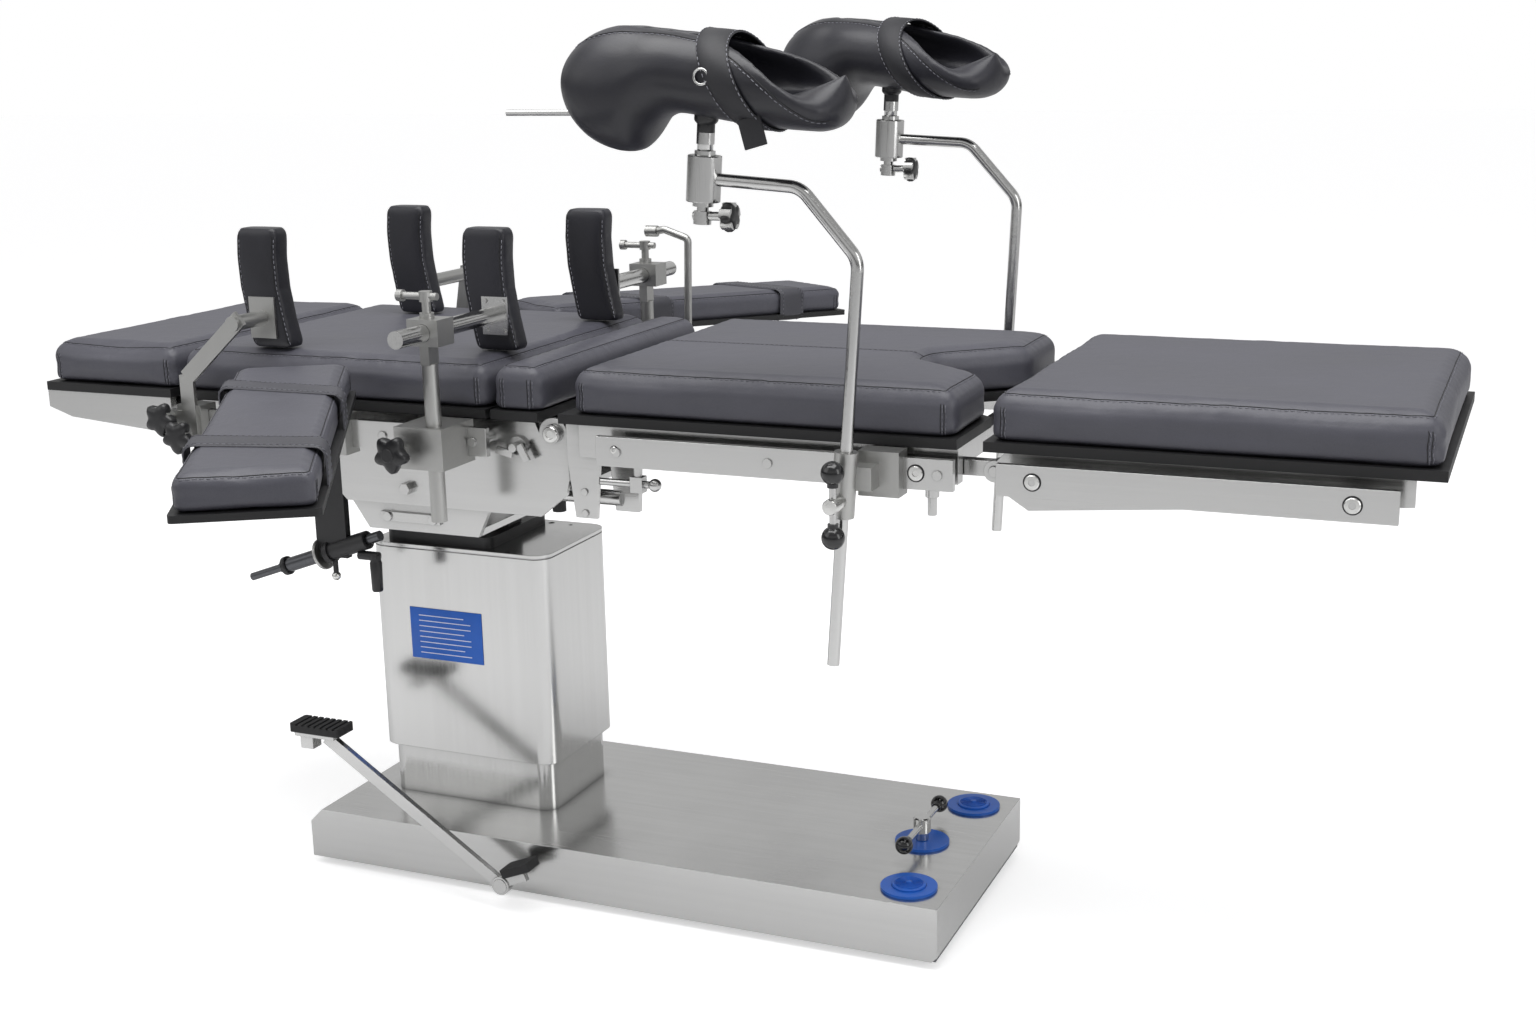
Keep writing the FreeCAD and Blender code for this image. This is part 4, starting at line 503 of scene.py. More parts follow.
# %% Cushion outlines
def rounded_outline(corners, radius, steps_round=6):
    """A closed outline with each corner rounded; a corner may give its own radius as a third number."""
    points = []
    count = len(corners)
    for index, corner in enumerate(corners):
        here = Vector(corner[:2])
        back = Vector(corners[index - 1][:2]) - here
        ahead = Vector(corners[(index + 1) % count][:2]) - here
        own = corner[2] if len(corner) > 2 else radius
        half = back.angle(ahead) / 2
        reach = own / math.tan(half)
        start = here + back.normalized() * reach
        centre = here + (back.normalized() + ahead.normalized()).normalized() * (own / math.sin(half))
        end = here + ahead.normalized() * reach
        spoke, last = start - centre, end - centre
        sweep = spoke.angle_signed(last)
        for step in range(steps_round + 1):
            angle = -sweep * step / steps_round
            points.append(centre + Matrix.Rotation(angle, 2) @ spoke)
    return points


def inset_outline(points, amount):
    """The outline moved inwards, along the mean of its two sides at each point."""
    area = sum(a.x * b.y - b.x * a.y for a, b in zip(points, points[1:] + points[:1]))
    turn = 1 if area > 0 else -1
    moved_in = []
    for index, point in enumerate(points):
        back = (point - points[index - 1]).normalized()
        ahead = (points[(index + 1) % len(points)] - point).normalized()
        along = (back + ahead).normalized()
        moved_in.append(point + Vector((-along.y, along.x)) * turn * amount)
    return moved_in


def dense(points, gap):
    """The outline with no two neighbours further apart than a gap."""
    filled = []
    for here, there in zip(points, points[1:] + points[:1]):
        parts = max(1, math.ceil((there - here).length / gap))
        filled += [here.lerp(there, part / parts) for part in range(parts)]
    return filled


# %% Swell a cushion as cloth
def swollen(piece, voxel, pressure, cap, last_frame=16):
    """Even cells, then a short cloth run under pressure with each point's travel capped."""
    set_all(piece.modifiers.new("even", "REMESH"), mode="VOXEL", voxel_size=voxel * MM,
            use_smooth_shade=True)
    apply_all(piece)
    start = [vertex.co.copy() for vertex in piece.data.vertices]
    cloth = piece.modifiers.new("cover", "CLOTH")
    set_all(cloth.settings, quality=4, mass=0.3, tension_stiffness=25, compression_stiffness=25,
            shear_stiffness=15, bending_stiffness=6, use_pressure=True,
            uniform_pressure_force=pressure)
    cloth.settings.effector_weights.gravity = 0
    cloth.collision_settings.use_collision = False
    set_all(cloth.point_cache, frame_start=1, frame_end=last_frame)
    for moment in range(1, last_frame + 1):
        bpy.context.scene.frame_set(moment)
    apply_all(piece)
    bpy.context.scene.frame_set(1)
    for vertex, was in zip(piece.data.vertices, start):
        travel = vertex.co - was
        if travel.length > cap * MM:
            vertex.co = was + travel.normalized() * cap * MM
    set_all(piece.modifiers.new("calm", "SMOOTH"), factor=0.5, iterations=3)
    set_all(piece.modifiers.new("finer", "SUBSURF"), levels=1, render_levels=1)
    apply_all(piece)
    all_smooth(piece.data)


# how far a cushion's walls draw in at their middle, and how hard the cover is blown up
WALL_DRAW = 2.5
COVER_PRESSURE = 3.0
# how far in from the rim the crown has risen by two thirds, in metres
CROWN_REACH = 0.07


def cushion(name, corners, low, high, radius, edge, finish, crown=4.0, voxel=6.0, cap=4.0):
    """A crowned cushion over an outline, from its low to its high level."""
    outline = dense(rounded_outline(corners, radius), 14)
    levels = [(low, 5.0), (low + 3, 1.5), (low + 9, 0.5)]
    for share in (0.3, 0.45, 0.6):
        levels.append((low + (high - low) * share, WALL_DRAW * math.sin(math.pi * share)))
    for step in range(0, 6):
        angle = math.pi / 2 * step / 5
        levels.append((high - crown - edge + edge * math.sin(angle), edge * (1 - math.cos(angle)) + 0.3))
    points = []
    for height, inset in levels:
        points += [(point.x, point.y, height) for point in inset_outline(outline, inset)]
    piece = made_mesh(name, points, ring_faces(len(levels), len(outline)), finish)
    reshaped(piece.data, caps_split)
    swollen(piece, voxel, COVER_PRESSURE, cap)
    top = high * MM
    rim = [Vector((point.x, point.y)) * MM for point in inset_outline(outline, edge * 0.6)]
    for vertex in piece.data.vertices:
        if vertex.co.z > (high - crown - edge * 0.5) * MM:
            flat_place = Vector((vertex.co.x, vertex.co.y))
            reach = min((flat_place - point).length for point in rim[::2])
            swell = 1 - math.exp(-reach / CROWN_REACH)
            vertex.co.z += crown * MM * swell
            ripple = noise.noise(Vector((vertex.co.x * 9, vertex.co.y * 7, 3.1)))
            vertex.co.z += 0.0009 * ripple * swell
        vertex.co.z = min(vertex.co.z, top)
    return piece


# %% [markdown]
# ## Seams
# A cover is sewn from a top panel and side panels. The seam shows as a fine fold, drawn as a thin dark
# tube of painted shadow, with a row of stitches beside it. The path is laid on the finished cushion: each
# point drops to the nearest place on its surface, so the fold and the stitches follow the form.

# %% Seam and stitch helpers
STITCH_LONG = 5.0
STITCH_PITCH = 7.5
STITCH_ROUND = 0.55


class Surface:
    """A finished piece's skin, to lay seams on."""

    def __init__(self, piece):
        shape = bmesh.new()
        shape.from_mesh(piece.data)
        self.tree = BVHTree.FromBMesh(shape)
        shape.free()

    def nearest(self, point):
        """The nearest point on the skin, in millimetres, and the way out."""
        place, out, _, _ = self.tree.find_nearest(Vector(point) * MM)
        return place / MM, out


def walked(path, gap, closed=False):
    """Points an even gap apart along a path."""
    line = [Vector(point) for point in path] + ([Vector(path[0])] if closed else [])
    placed = []
    left = 0.0
    for here, there in zip(line, line[1:]):
        length = (there - here).length
        along = left
        while along < length:
            placed.append(here.lerp(there, along / length))
            along += gap
        left = along - length
    return placed


def sewn(name, skin, path, closed=False, fold=0.6, beside=2.6, yarn=None):
    """A dark tube of painted shadow for the fold along a path on the skin, and stitches beside it."""
    line = [skin.nearest(point) for point in walked(path, 5.0, closed)]
    places = [place + out * (fold * 0.15) for place, out in line]
    # painted shadow: a thin near black tube along the seam's fold
    pieces = [tube_along(f"{name}_fold", places, fold, seam_shadow, 6, closed,
                         normals=[out for _, out in line])]
    points = []
    faces = []
    spots = [skin.nearest(point) for point in walked(path, STITCH_PITCH, closed)]
    long = STITCH_LONG / 2
    for (place, out), (after, _) in zip(spots, spots[1:]):
        ahead = (after - place).normalized()
        across = ahead.cross(out).normalized()
        middle, rise = skin.nearest(place + across * beside)
        middle = middle + rise * 0.25
        start = len(points)
        for end, share in ((-1, 0.35), (-0.55, 1.0), (0.55, 1.0), (1, 0.35)):
            points += [middle + ahead * long * end + across * STITCH_ROUND * share * c
                       + rise * STITCH_ROUND * share * s for c, s in circle(6)]
        faces += [tuple(start + corner for corner in face) for face in ring_faces(4, 6)]
    if points:
        pieces.append(made_mesh(f"{name}_stitches", points, faces, yarn or thread_dark))
    return joined(name, pieces)


def box_seams(name, piece, corners, low, high, radius, inset=16.0):
    """The rim seam of a cushion and the upright seams beside its end panels."""
    skin = Surface(piece)
    outline = inset_outline(dense(rounded_outline(corners, radius), 10), inset)
    rim = [(point.x, point.y, high - 3) for point in outline]
    pieces = [sewn(f"{name}_rim", skin, rim, closed=True)]
    xs = [corner[0] for corner in corners]
    ys = [corner[1] for corner in corners]
    for x, inward in ((min(xs), 1), (max(xs), -1)):
        for y in (min(ys), max(ys)):
            wall = 1 if y > 0 else -1
            for step in (13, 20):
                line = [(x + inward * step, y + wall * 5, low + 3 + (high - low - 14) * share)
                        for share in (0, 0.2, 0.4, 0.6, 0.8, 1)]
                pieces.append(sewn(f"{name}_side_{x:.0f}_{y:.0f}_{step}", skin, line, beside=2.2))
    return joined(name, pieces)


print("stitches", STITCH_LONG, "mm long,", STITCH_PITCH, "mm apart")


# %% [markdown]
# ## The table's cushions
# Each section has its own cushion on a laminate board. Their outlines come from the solids' boxes. The
# seat's outline has the rounded cut-out at its leg end, and a seam down its middle.

# %% Build the section cushions
PAD_EDGE = 28.0
PAD_ROUND = 20.0


def in_mm(name):
    """A solid's box in millimetres."""
    low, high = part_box(name)
    return [value * 1000 for value in low], [value * 1000 for value in high]


def box_corners(low, high):
    return [(low[0], low[1]), (high[0], low[1]), (high[0], high[1]), (low[0], high[1])]


SECTIONS = {"head_pad": "head", "back_pad": "main", "bridge_pad": "bridge", "leg_pad": "leg"}
for node_name, body in SECTIONS.items():
    low, high = in_mm(node_name)
    corners = box_corners(low, high)
    narrow = node_name == "bridge_pad"
    pad = cushion(f"{node_name}_cover", corners, low[2], high[2], PAD_ROUND, PAD_EDGE, cover_grey,
                  crown=2.5 if narrow else 4.0, cap=2.0 if narrow else 4.0)
    seams = box_seams(f"{node_name}_seams", pad, corners, low[2], high[2], PAD_ROUND)
    for piece in (pad, seams):
        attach(piece, body)
    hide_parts(node_name)
    print(node_name, "faces", len(pad.data.polygons))

# %% Build the seat cushion
CUT_DEEP = 111.0
CUT_HALF = 112.0
low, high = in_mm("seat_pad")
tip = high[0] - CUT_DEEP
seat_corners = [(low[0], low[1]), (high[0], low[1]), (high[0], -CUT_HALF, 30), (tip + 2, -20, 26),
                (tip + 2, 20, 26),
                (high[0], CUT_HALF, 30), (high[0], high[1]), (low[0], high[1])]
seat = cushion("seat_pad_cover", seat_corners, low[2], high[2], PAD_ROUND, PAD_EDGE, cover_grey)
seat_seams = box_seams("seat_pad_seams", seat, seat_corners, low[2], high[2], PAD_ROUND)
seat_skin = Surface(seat)
middle_seam = sewn("seat_pad_middle_seam", seat_skin, [(low[0] + 10, 0, high[2]), (tip - 10, 0, high[2])])
for piece in (seat, seat_seams, middle_seam):
    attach(piece, "seat")
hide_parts("seat_pad")
print("seat faces", len(seat.data.polygons))


# %% [markdown]
# ## Arm boards
# An arm board's cushion is thinner, and two wide straps of the same leatherette go round the cushion and
# the board. The straps are bands bent round a rounded rectangle, standing a little proud of the cover, with
# a stitched line along each edge.

# %% Build the arm cushions and straps
ARM_SPLAY = 58.7
ARM_DROOP = 2.0
ARM_PIVOT = (-475.0, 378.0)
ARM_BOARD_Z = 768.0
ARM_INSET = 60.0
ARM_LONG = 622.0
ARM_WIDE = 166.0
ARM_THICK = 44.0
ARM_BOARD = 9.0
STRAP_WIDE = 52.0
# how far along each strap lies, and how far its two ends are apart along the board
STRAPS = ((174.0, 81.0), (477.0, 41.0))


def arm_turn(side):
    return (Matrix.Rotation(math.radians(side * ARM_SPLAY), 3, "Z")
            @ Matrix.Rotation(math.radians(ARM_DROOP), 3, "Y"))


def strap_strip(name, rows, finish, thick):
    """A closed band through rows of points, with a thickness."""
    points = [point for row in rows for point in row]
    strip = made_mesh(name, points, ring_faces(len(rows), len(rows[0]), capped=False), finish)
    set_all(strip.modifiers.new("thick", "SOLIDIFY"), thickness=thick * MM, offset=-1)
    apply_all(strip)
    shade_by_angle(strip, 60)
    return strip


def band(name, middle, wide, half, low, high, corner, finish, yarn, skew=0.0):
    """A strap bent round a box's section, its middle at a place along X."""
    loop = dense(rounded_outline([(-half, low), (half, low), (half, high), (-half, high)], corner), 8)
    across = [-wide / 2, -wide / 2 + 1.2, -wide * 0.25, 0, wide * 0.25, wide / 2 - 1.2, wide / 2]
    proud = [0.0, 1.6, 2.2, 2.4, 2.2, 1.6, 0.0]
    rows = []
    for shift, lift in zip(across, proud):
        row = []
        for point in inset_outline(loop, -lift):
            wave = 0.8 * noise.noise(Vector((point.x * 0.02, point.y * 0.03, middle)))
            row.append((middle + shift + wave + skew / 2 * point.x / half, point.x, point.y))
        rows.append(row)
    strip = strap_strip(name, rows, finish, 1.5)
    skin = Surface(strip)
    pieces = [strip]
    for shift in (-wide / 2 + 5, wide / 2 - 5):
        line = [(middle + shift + skew / 2 * point.x / half, point.x, point.y)
                for point in inset_outline(loop, -3)]
        pieces.append(sewn(f"{name}_line_{shift:.0f}", skin, line, closed=True, fold=0.3, beside=0.0,
                           yarn=yarn))
    return joined(name, pieces)


for side in (-1, 1):
    here = "far" if side > 0 else "near"
    turn = arm_turn(side)
    place = (ARM_PIVOT[0], side * ARM_PIVOT[1], ARM_BOARD_Z)
    start, end = 4 - ARM_INSET, ARM_LONG - ARM_INSET - 4
    half = ARM_WIDE / 2 - 4
    corners = [(start, -half), (end, -half), (end, half), (start, half)]
    pad = cushion(f"arm_pad_cover_{here}", corners, ARM_BOARD, ARM_BOARD + ARM_THICK, 14, 15, cover_grey,
                  crown=3.0, cap=3.0, voxel=5.0)
    seams = box_seams(f"arm_pad_seams_{here}", pad, corners, ARM_BOARD, ARM_BOARD + ARM_THICK, 14, inset=7)
    for piece in (pad, seams):
        moved(piece, place, turn)
        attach(piece, f"arm_{here}")
    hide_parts(f"arm_pad_{here}")
    for number, (along, skew) in enumerate(STRAPS):
        strap = band(f"arm_strap_{here}_{number}", along - ARM_INSET, STRAP_WIDE, ARM_WIDE / 2 - 1.5, -1.0,
                     ARM_BOARD + ARM_THICK + 0.5, 12, strap_grey, thread_dark, skew=-side * skew)
        moved(strap, place, turn)
        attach(strap, f"arm_{here}")
print("arm boards dressed")


# %% [markdown]
# ## Side supports
# The four upright pads are moulded foam in near black leatherette, bowed so that they hug the patient.
# Each is lofted from rounded sections along the bow of its solid, closed with a domed top, and sewn down
# the front edges.

# %% Build the support pads
SUPPORT_LEVELS = 26
SUPPORT_AROUND = 36
SUPPORT_WIDE = 72.0
# a share of the pad's height, and how far the pad bows along the table there
BOWS = ((0, 9), (0.25, 0), (0.5, -7.2), (0.75, -9), (1, -5.4))


def bow_at(share):
    """How far a pad bows at a share of its height."""
    for (start, a), (end, b) in zip(BOWS, BOWS[1:]):
        if start <= share <= end:
            ease = (share - start) / (end - start)
            bow = a + (b - a) * ease
    return bow


def support_cover(name, node_name, finish):
    """A bowed pad with a domed top over its solid, and its four seams."""
    low, high = in_mm(node_name)
    middle = (low[0] + high[0]) / 2
    half_y = (high[1] - low[1]) / 2
    y = (low[1] + high[1]) / 2
    tall = high[2] - low[2]
    section = [(math.copysign(abs(c) ** 0.32, c), math.copysign(abs(s) ** 0.36, s))
               for c, s in circle(SUPPORT_AROUND)]
    points = []
    for level in range(SUPPORT_LEVELS + 1):
        share = level / SUPPORT_LEVELS
        dome = 1 - max(0, (share - 0.93) / 0.07) ** 2 * 0.16
        foot = 1 - max(0, (0.03 - share) / 0.03) * 0.08
        for c, s in section:
            points.append((middle + bow_at(share) + c * (SUPPORT_WIDE / 2 - 0.5) * dome * foot,
                           y + s * (half_y - 0.5) * dome * foot, low[2] + tall * share))
    pad = made_mesh(name, points, ring_faces(SUPPORT_LEVELS + 1, SUPPORT_AROUND), finish)
    swollen(pad, 3.5, 2.0, 2.5, last_frame=10)
    skin = Surface(pad)
    seams = []
    for hand in (-1, 1):
        for depth in (-1, 1):
            line = []
            for level in range(0, 23):
                share = 0.03 + 0.93 * level / 22
                line.append((middle + bow_at(share) + hand * SUPPORT_WIDE * 0.44, y + depth * half_y * 1.2,
                             low[2] + tall * share))
            seams.append(sewn(f"{name}_seam_{hand}_{depth}", skin, line, fold=0.7, yarn=thread))
    return pad, joined(f"{name}_seams", seams)


for here in ("near", "far"):
    for kind, body in (("shoulder", f"shoulder_{here}"), ("body", f"body_arm_{here}")):
        node_name = f"{kind}_pad_{here}"
        pad, seams = support_cover(f"{node_name}_cover", node_name, cover_black)
        for piece in (pad, seams):
            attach(piece, body)
        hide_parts(node_name)
print("support pads made")


# %% [markdown]
# ## Knee crutches
# A knee crutch is a moulded foam shell that holds the knee's hollow and the calf. Its big end hangs down
# like a hood, and its slim end opens into a trough. It is built from oval sections along its length, each
# open at the top by its own amount, with a rounded rim, and then fused and relaxed into one soft skin.

# %% Crutch shape
# distance along, height, half height, half width, half opening in degrees
CRUTCH = (
    (-397, 450, 14, 26, 0), (-391, 449, 30, 42, 0), (-378, 446, 51, 60, 0), (-356, 444, 68, 70, 0),
    (-330, 444, 77, 75, 2), (-304, 445, 80, 76, 6), (-293, 445, 79, 76, 8), (-284, 450, 73, 76, 9),
    (-273, 464, 59, 76, 11), (-245, 471, 51, 76, 13), (-190, 467, 52, 76, 19), (-174, 466, 53, 76, 27),
    (-147, 464, 53, 77, 38), (-124, 463, 53, 78, 48), (-101, 462, 53, 79, 61), (-81, 461, 52, 79, 74),
    (-66, 460, 51, 78, 84), (-53, 458, 49, 75, 92), (-41, 456, 45, 69, 98), (-31, 453, 38, 58, 101),
    (-25, 450, 28, 44, 102), (-21, 448, 16, 26, 102),
)
RIM_ROUND = 13.0
SHELL_AROUND = 34
CRUTCH_STRAP_WIDE = 42.0
# where the stem stands along the crutch, and how far each crutch is turned about it, in degrees
STEM_BACK = 208.0
CRUTCH_SPLAY = {-1: 0.0, 1: -14.0}
# the trough's mouth leans to one side towards its slim end, in degrees
MOUTH_LEAN = 20.0


def crutch_place(side):
    """Turns a place along, across and up the crutch into the table's millimetres."""
    x0, z0, lean = (317.0, 726.0, 4.2) if side < 0 else (335.0, 744.0, 3.0)
    c, s = math.cos(math.radians(lean)), math.sin(math.radians(lean))
    yaw = math.radians(CRUTCH_SPLAY[side])

    def place(along, across, up):
        back = along + STEM_BACK
        along = back * math.cos(yaw) - across * math.sin(yaw) - STEM_BACK
        across = back * math.sin(yaw) + across * math.cos(yaw)
        return Vector((x0 + along * c + up * s, side * 330.0 + across, z0 - along * s + up * c))
    return place


def station(along):
    """The crutch's section at a distance along, between the listed ones."""
    for first, second in zip(CRUTCH, CRUTCH[1:]):
        if first[0] <= along <= second[0]:
            share = (along - first[0]) / (second[0] - first[0])
            ease = share * share * (3 - 2 * share) * 0.35 + share * 0.65
            return [a + (b - a) * ease for a, b in zip(first, second)]
    return list(CRUTCH[-1] if along > CRUTCH[-1][0] else CRUTCH[0])


def mouth_lean(along):
    """How far the mouth has turned to the side at a distance along, in radians."""
    return -math.radians(MOUTH_LEAN) * max(0.0, min(1.0, (along + 160) / 110))


def crutch_shell(name, side):
    """The crutch's soft shell, lofted from open sections."""
    place = crutch_place(side)
    points = []
    stops = [CRUTCH[0][0] + (CRUTCH[-1][0] - CRUTCH[0][0]) * step / 64 for step in range(65)]
    for along in stops:
        _, up, high, wide, opening = station(along)
        opened = max(math.radians(opening), 0.03)
        lip = max(0.0, min(1.0, (along + 115) / 80))
        thick = min(RIM_ROUND * (1 + lip), high * (0.45 + 0.45 * lip), wide * (0.4 + 0.4 * lip))
        outer = []
        inner = []
        for step in range(SHELL_AROUND + 1):
            angle = mouth_lean(along) + opened + (2 * math.pi - 2 * opened) * step / SHELL_AROUND
            across, rise = math.sin(angle), math.cos(angle)
            outer.append(place(along, across * wide, up + rise * high))
            deep = thick * (1.0 if rise > -0.1 else 1.0 + 1.7 * (-rise - 0.1))
            inner.append(place(along, across * (wide - thick), up + rise * (high - deep)))
        points += outer + list(reversed(inner))
    ring = 2 * (SHELL_AROUND + 1)
    faces = ring_faces(len(stops), ring, capped=False)
    last = (len(stops) - 1) * ring
    for step in range(SHELL_AROUND):
        faces.append((step, ring - 1 - step, ring - 2 - step, step + 1))
        faces.append((last + step, last + step + 1, last + ring - 2 - step, last + ring - 1 - step))
    shell = made_mesh(name, points, faces, cover_black)
    set_all(shell.modifiers.new("even", "REMESH"), mode="VOXEL", voxel_size=4.5 * MM)
    apply_all(shell)
    set_all(shell.modifiers.new("relax", "CORRECTIVE_SMOOTH"), factor=0.8, iterations=18,
            smooth_type="SIMPLE", use_only_smooth=True)
    set_all(shell.modifiers.new("finer", "SUBSURF"), levels=1, render_levels=1)
    apply_all(shell)
    all_smooth(shell.data)
    return shell


def crutch_strap(name, side):
    """A strap round the shell, leaning, with a stitched line along each edge."""
    place = crutch_place(side)
    edge = CRUTCH_STRAP_WIDE / 2
    rows = []
    for shift, lift in ((-edge, 0.6), (-edge + 1.5, 2.4), (0, 3.0), (edge - 1.5, 2.4), (edge, 0.6)):
        row = []
        for rise, across in circle(56):
            along = -158 - 30 * rise + shift
            _, up, high, half, _ = station(along)
            reach = place(along, across * (half + 0.8), up + rise * (high + 0.8))
            out = place(along, across * (half + 9), up + rise * (high + 9)) - reach
            row.append(reach + out.normalized() * lift)
        rows.append(row)
    strip = strap_strip(f"{name}_band", rows, strap_black, 1.8)
    skin = Surface(strip)
    return [strip] + [sewn(f"{name}_line_{number}", skin, row, closed=True, fold=0.3, beside=0.0, yarn=thread)
                      for number, row in enumerate((rows[1], rows[3]))]


def strap_ends(name, side):
    """The near strap's ring and its loose end."""
    place = crutch_place(side)
    ring = [place(-182 + 9 * math.cos(math.radians(turn)), -77.5, 468 + 9 * math.sin(math.radians(turn)))
            for turn in range(0, 360, 15)]
    return [tube_along(f"{name}_ring", ring, 1.7, polished, closed=True),
            small_block(f"{name}_low_end", (30, 3, 36), place(-122, -56, 407), strap_black, 1.2,
                        Matrix.Rotation(math.radians(-15), 3, "Y"))]


for side, here in ((-1, "near"), (1, "far")):
    shell = crutch_shell(f"crutch_shell_cover_{here}", side)
    skin = Surface(shell)
    place = crutch_place(side)
    seams = []
    for hand in (-1, 1):
        line = []
        for step in range(50):
            along = -372 + 344 * step / 49
            _, up, high, half, opening = station(along)
            angle = hand * math.radians(max(opening, 10) + 20) + mouth_lean(along)
            line.append(place(along, math.sin(angle) * half, up + math.cos(angle) * high))
        seams.append(sewn(f"crutch_seam_{here}_{hand}", skin, line, fold=0.8, beside=3.0, yarn=thread))
    seam = joined(f"crutch_seams_{here}", seams)
    strap = joined(f"crutch_strap_{here}", crutch_strap(f"crutch_strap_{here}", side)
                   + (strap_ends(f"crutch_strap_{here}", side) if side < 0 else []))
    upward = place(-STEM_BACK, 0, 1) - place(-STEM_BACK, 0, 0)
    foot = place(-STEM_BACK, 0, 0)
    socket = joined(f"crutch_socket_{here}", [
        turned(f"socket_cup_{here}", [(0.1, 394), (10.5, 394), (11.2, 395), (11.2, 408), (14, 411), (15, 413),
                                      (15, 428), (0.1, 428)], foot, upward, knob_black),
        turned(f"socket_sleeve_{here}", [(0.1, 376), (9.4, 376), (9.9, 377), (9.9, 395), (0.1, 395)], foot,
               upward,
               polished)])
    barrel = turned(f"crutch_barrel_{here}", [(0.1, 313.6), (20.6, 313.6), (21.5, 314.6), (21.5, 369.4),
                                              (20.6, 370.4), (0.1, 370.4)], foot, upward, steel_z, around=56)
    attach(barrel, f"leg_pole_{here}")
    for piece in (shell, seam, strap, socket):
        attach(piece, f"crutch_{here}")
    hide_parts(f"crutch_shell_{here}")
    print("crutch", here, "faces", len(shell.data.polygons))


# %% [markdown]
# ## Knobs, balls and levers
# Star knobs are moulded with rounded lobes and a domed face. Balls are phenolic on steel rods. Both are
# turned or swept here with soft edges, and stand for the plainer solids.

# %% Knobs and levers
KNOB_LOBES = 5


def star(name, place, direction, radius, thick, turn=0.0):
    """A moulded knob with rounded lobes, its foot at a place."""
    around = 90
    levels = ((0.0, 0.55), (0.06, 0.62), (0.2, 0.93), (0.4, 1.0), (0.72, 0.98), (0.9, 0.86), (0.98, 0.6),
              (1.0, 0.3))
    points = []
    for height, share in levels:
        for step in range(around):
            angle = 2 * math.pi * step / around
            lobe = 0.86 + 0.14 * math.cos(KNOB_LOBES * angle + turn)
            reach = radius * share * (lobe if share > 0.62 else 0.86 + (lobe - 0.86) * (share / 0.62))
            points.append((reach * math.cos(angle), reach * math.sin(angle), thick * height))
    piece = made_mesh(name, points, ring_faces(len(levels), around), knob_black)
    shade_by_angle(piece, 60)
    return moved(piece, place, aim(direction))


def sphere_profile(radius, flat=0.97):
    return [(radius * math.sin(math.pi * step / 20),
             -radius * math.cos(math.pi * step / 20)) for step in range(21)]


for here, side in (("near", -1), ("far", 1)):
    low, high = in_mm(f"body_knob_{here}")
    middle_x, middle_z = (low[0] + high[0]) / 2, (low[2] + high[2]) / 2
    foot = high[1] if side < 0 else low[1]
    knob = star(f"body_knob_star_{here}", (middle_x, foot + side * 0.2, middle_z), (0, side, 0), 27, 22,
                turn=1.2)
    cap = turned(f"body_knob_cap_{here}", [(0.1, 0), (9.5, 0), (9.5, 1.2), (8.6, 2.0), (0.1, 2.2)],
                 (middle_x, foot + side * 21.6, middle_z), (0, side, 0), powder_black)
    knob = joined(f"body_knob_made_{here}", [knob, cap])
    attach(knob, f"body_knob_{here}")
    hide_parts(f"body_knob_{here}")

    low, high = in_mm(f"leg_lever_{here}")
    x, z = (low[0] + high[0]) / 2, (low[2] + high[2]) / 2
    y = (high[1] if side < 0 else low[1]) + side * 14.0
    pieces = [turned(f"lever_rod_{here}", [(0.1, -41), (4.5, -41), (4.5, 41), (0.1, 41)], (x, y, z),
                     (0, 0, 1), polished),
              turned(f"lever_hub_{here}", [(0.1, -13), (9, -13), (10, -12), (10, 11), (9, 12.5), (0.1, 13)],
                     (x, y, z), (0, side, 0), screw_steel)]
    for end in (-1, 1):
        pieces.append(turned(f"lever_ball_{here}_{end}", sphere_profile(15), (x, y, z + 41 * end),
                             (0, 0, end), ball_black,
                             crisp=80))
        pieces.append(turned(f"lever_neck_{here}_{end}", [(0.1, 0), (7, 0), (7, 6), (6, 7), (0.1, 7)],
                             (x, y, z + 23 * end), (0, 0, end), ball_black))
    lever = joined(f"leg_lever_made_{here}", pieces)
    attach(lever, f"leg_lever_{here}")
    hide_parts(f"leg_lever_{here}")
print("side knobs and levers made")

# %% Floor lock and foot buttons
low, high = in_mm("lock_handle")
x, z = (low[0] + high[0]) / 2, 120.0
LOCK_BALL = 13.0
LOCK_REACH = 82.0
pieces = [turned("lock_spindle", [(0.1, 46), (6.8, 46), (6.8, 96), (9.5, 97), (9.5, 108), (13, 109),
                                  (13, 130), (11, 132),
                                  (0.1, 132)],
                 (x, 0, 0), (0, 0, 1), polished),
          turned("lock_bar", [(0.1, -LOCK_REACH), (5, -LOCK_REACH), (5, LOCK_REACH), (0.1, LOCK_REACH)],
                 (x, 0, z), (0, 1, 0), polished)]
for end in (-1, 1):
    pieces.append(turned(f"lock_ball_{end}", sphere_profile(LOCK_BALL), (x, LOCK_REACH * end, z),
                         (0, end, 0), ball_black,
                         crisp=80))
    pieces.append(turned(f"lock_neck_{end}", [(0.1, 0), (6.5, 0), (7, 1), (7, 7), (0.1, 8)],
                         (x, (LOCK_REACH - 18) * end, z), (0, end, 0), ball_black))
lock = joined("lock_handle_made", pieces)
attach(lock, "lock_handle")
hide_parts("lock_handle")
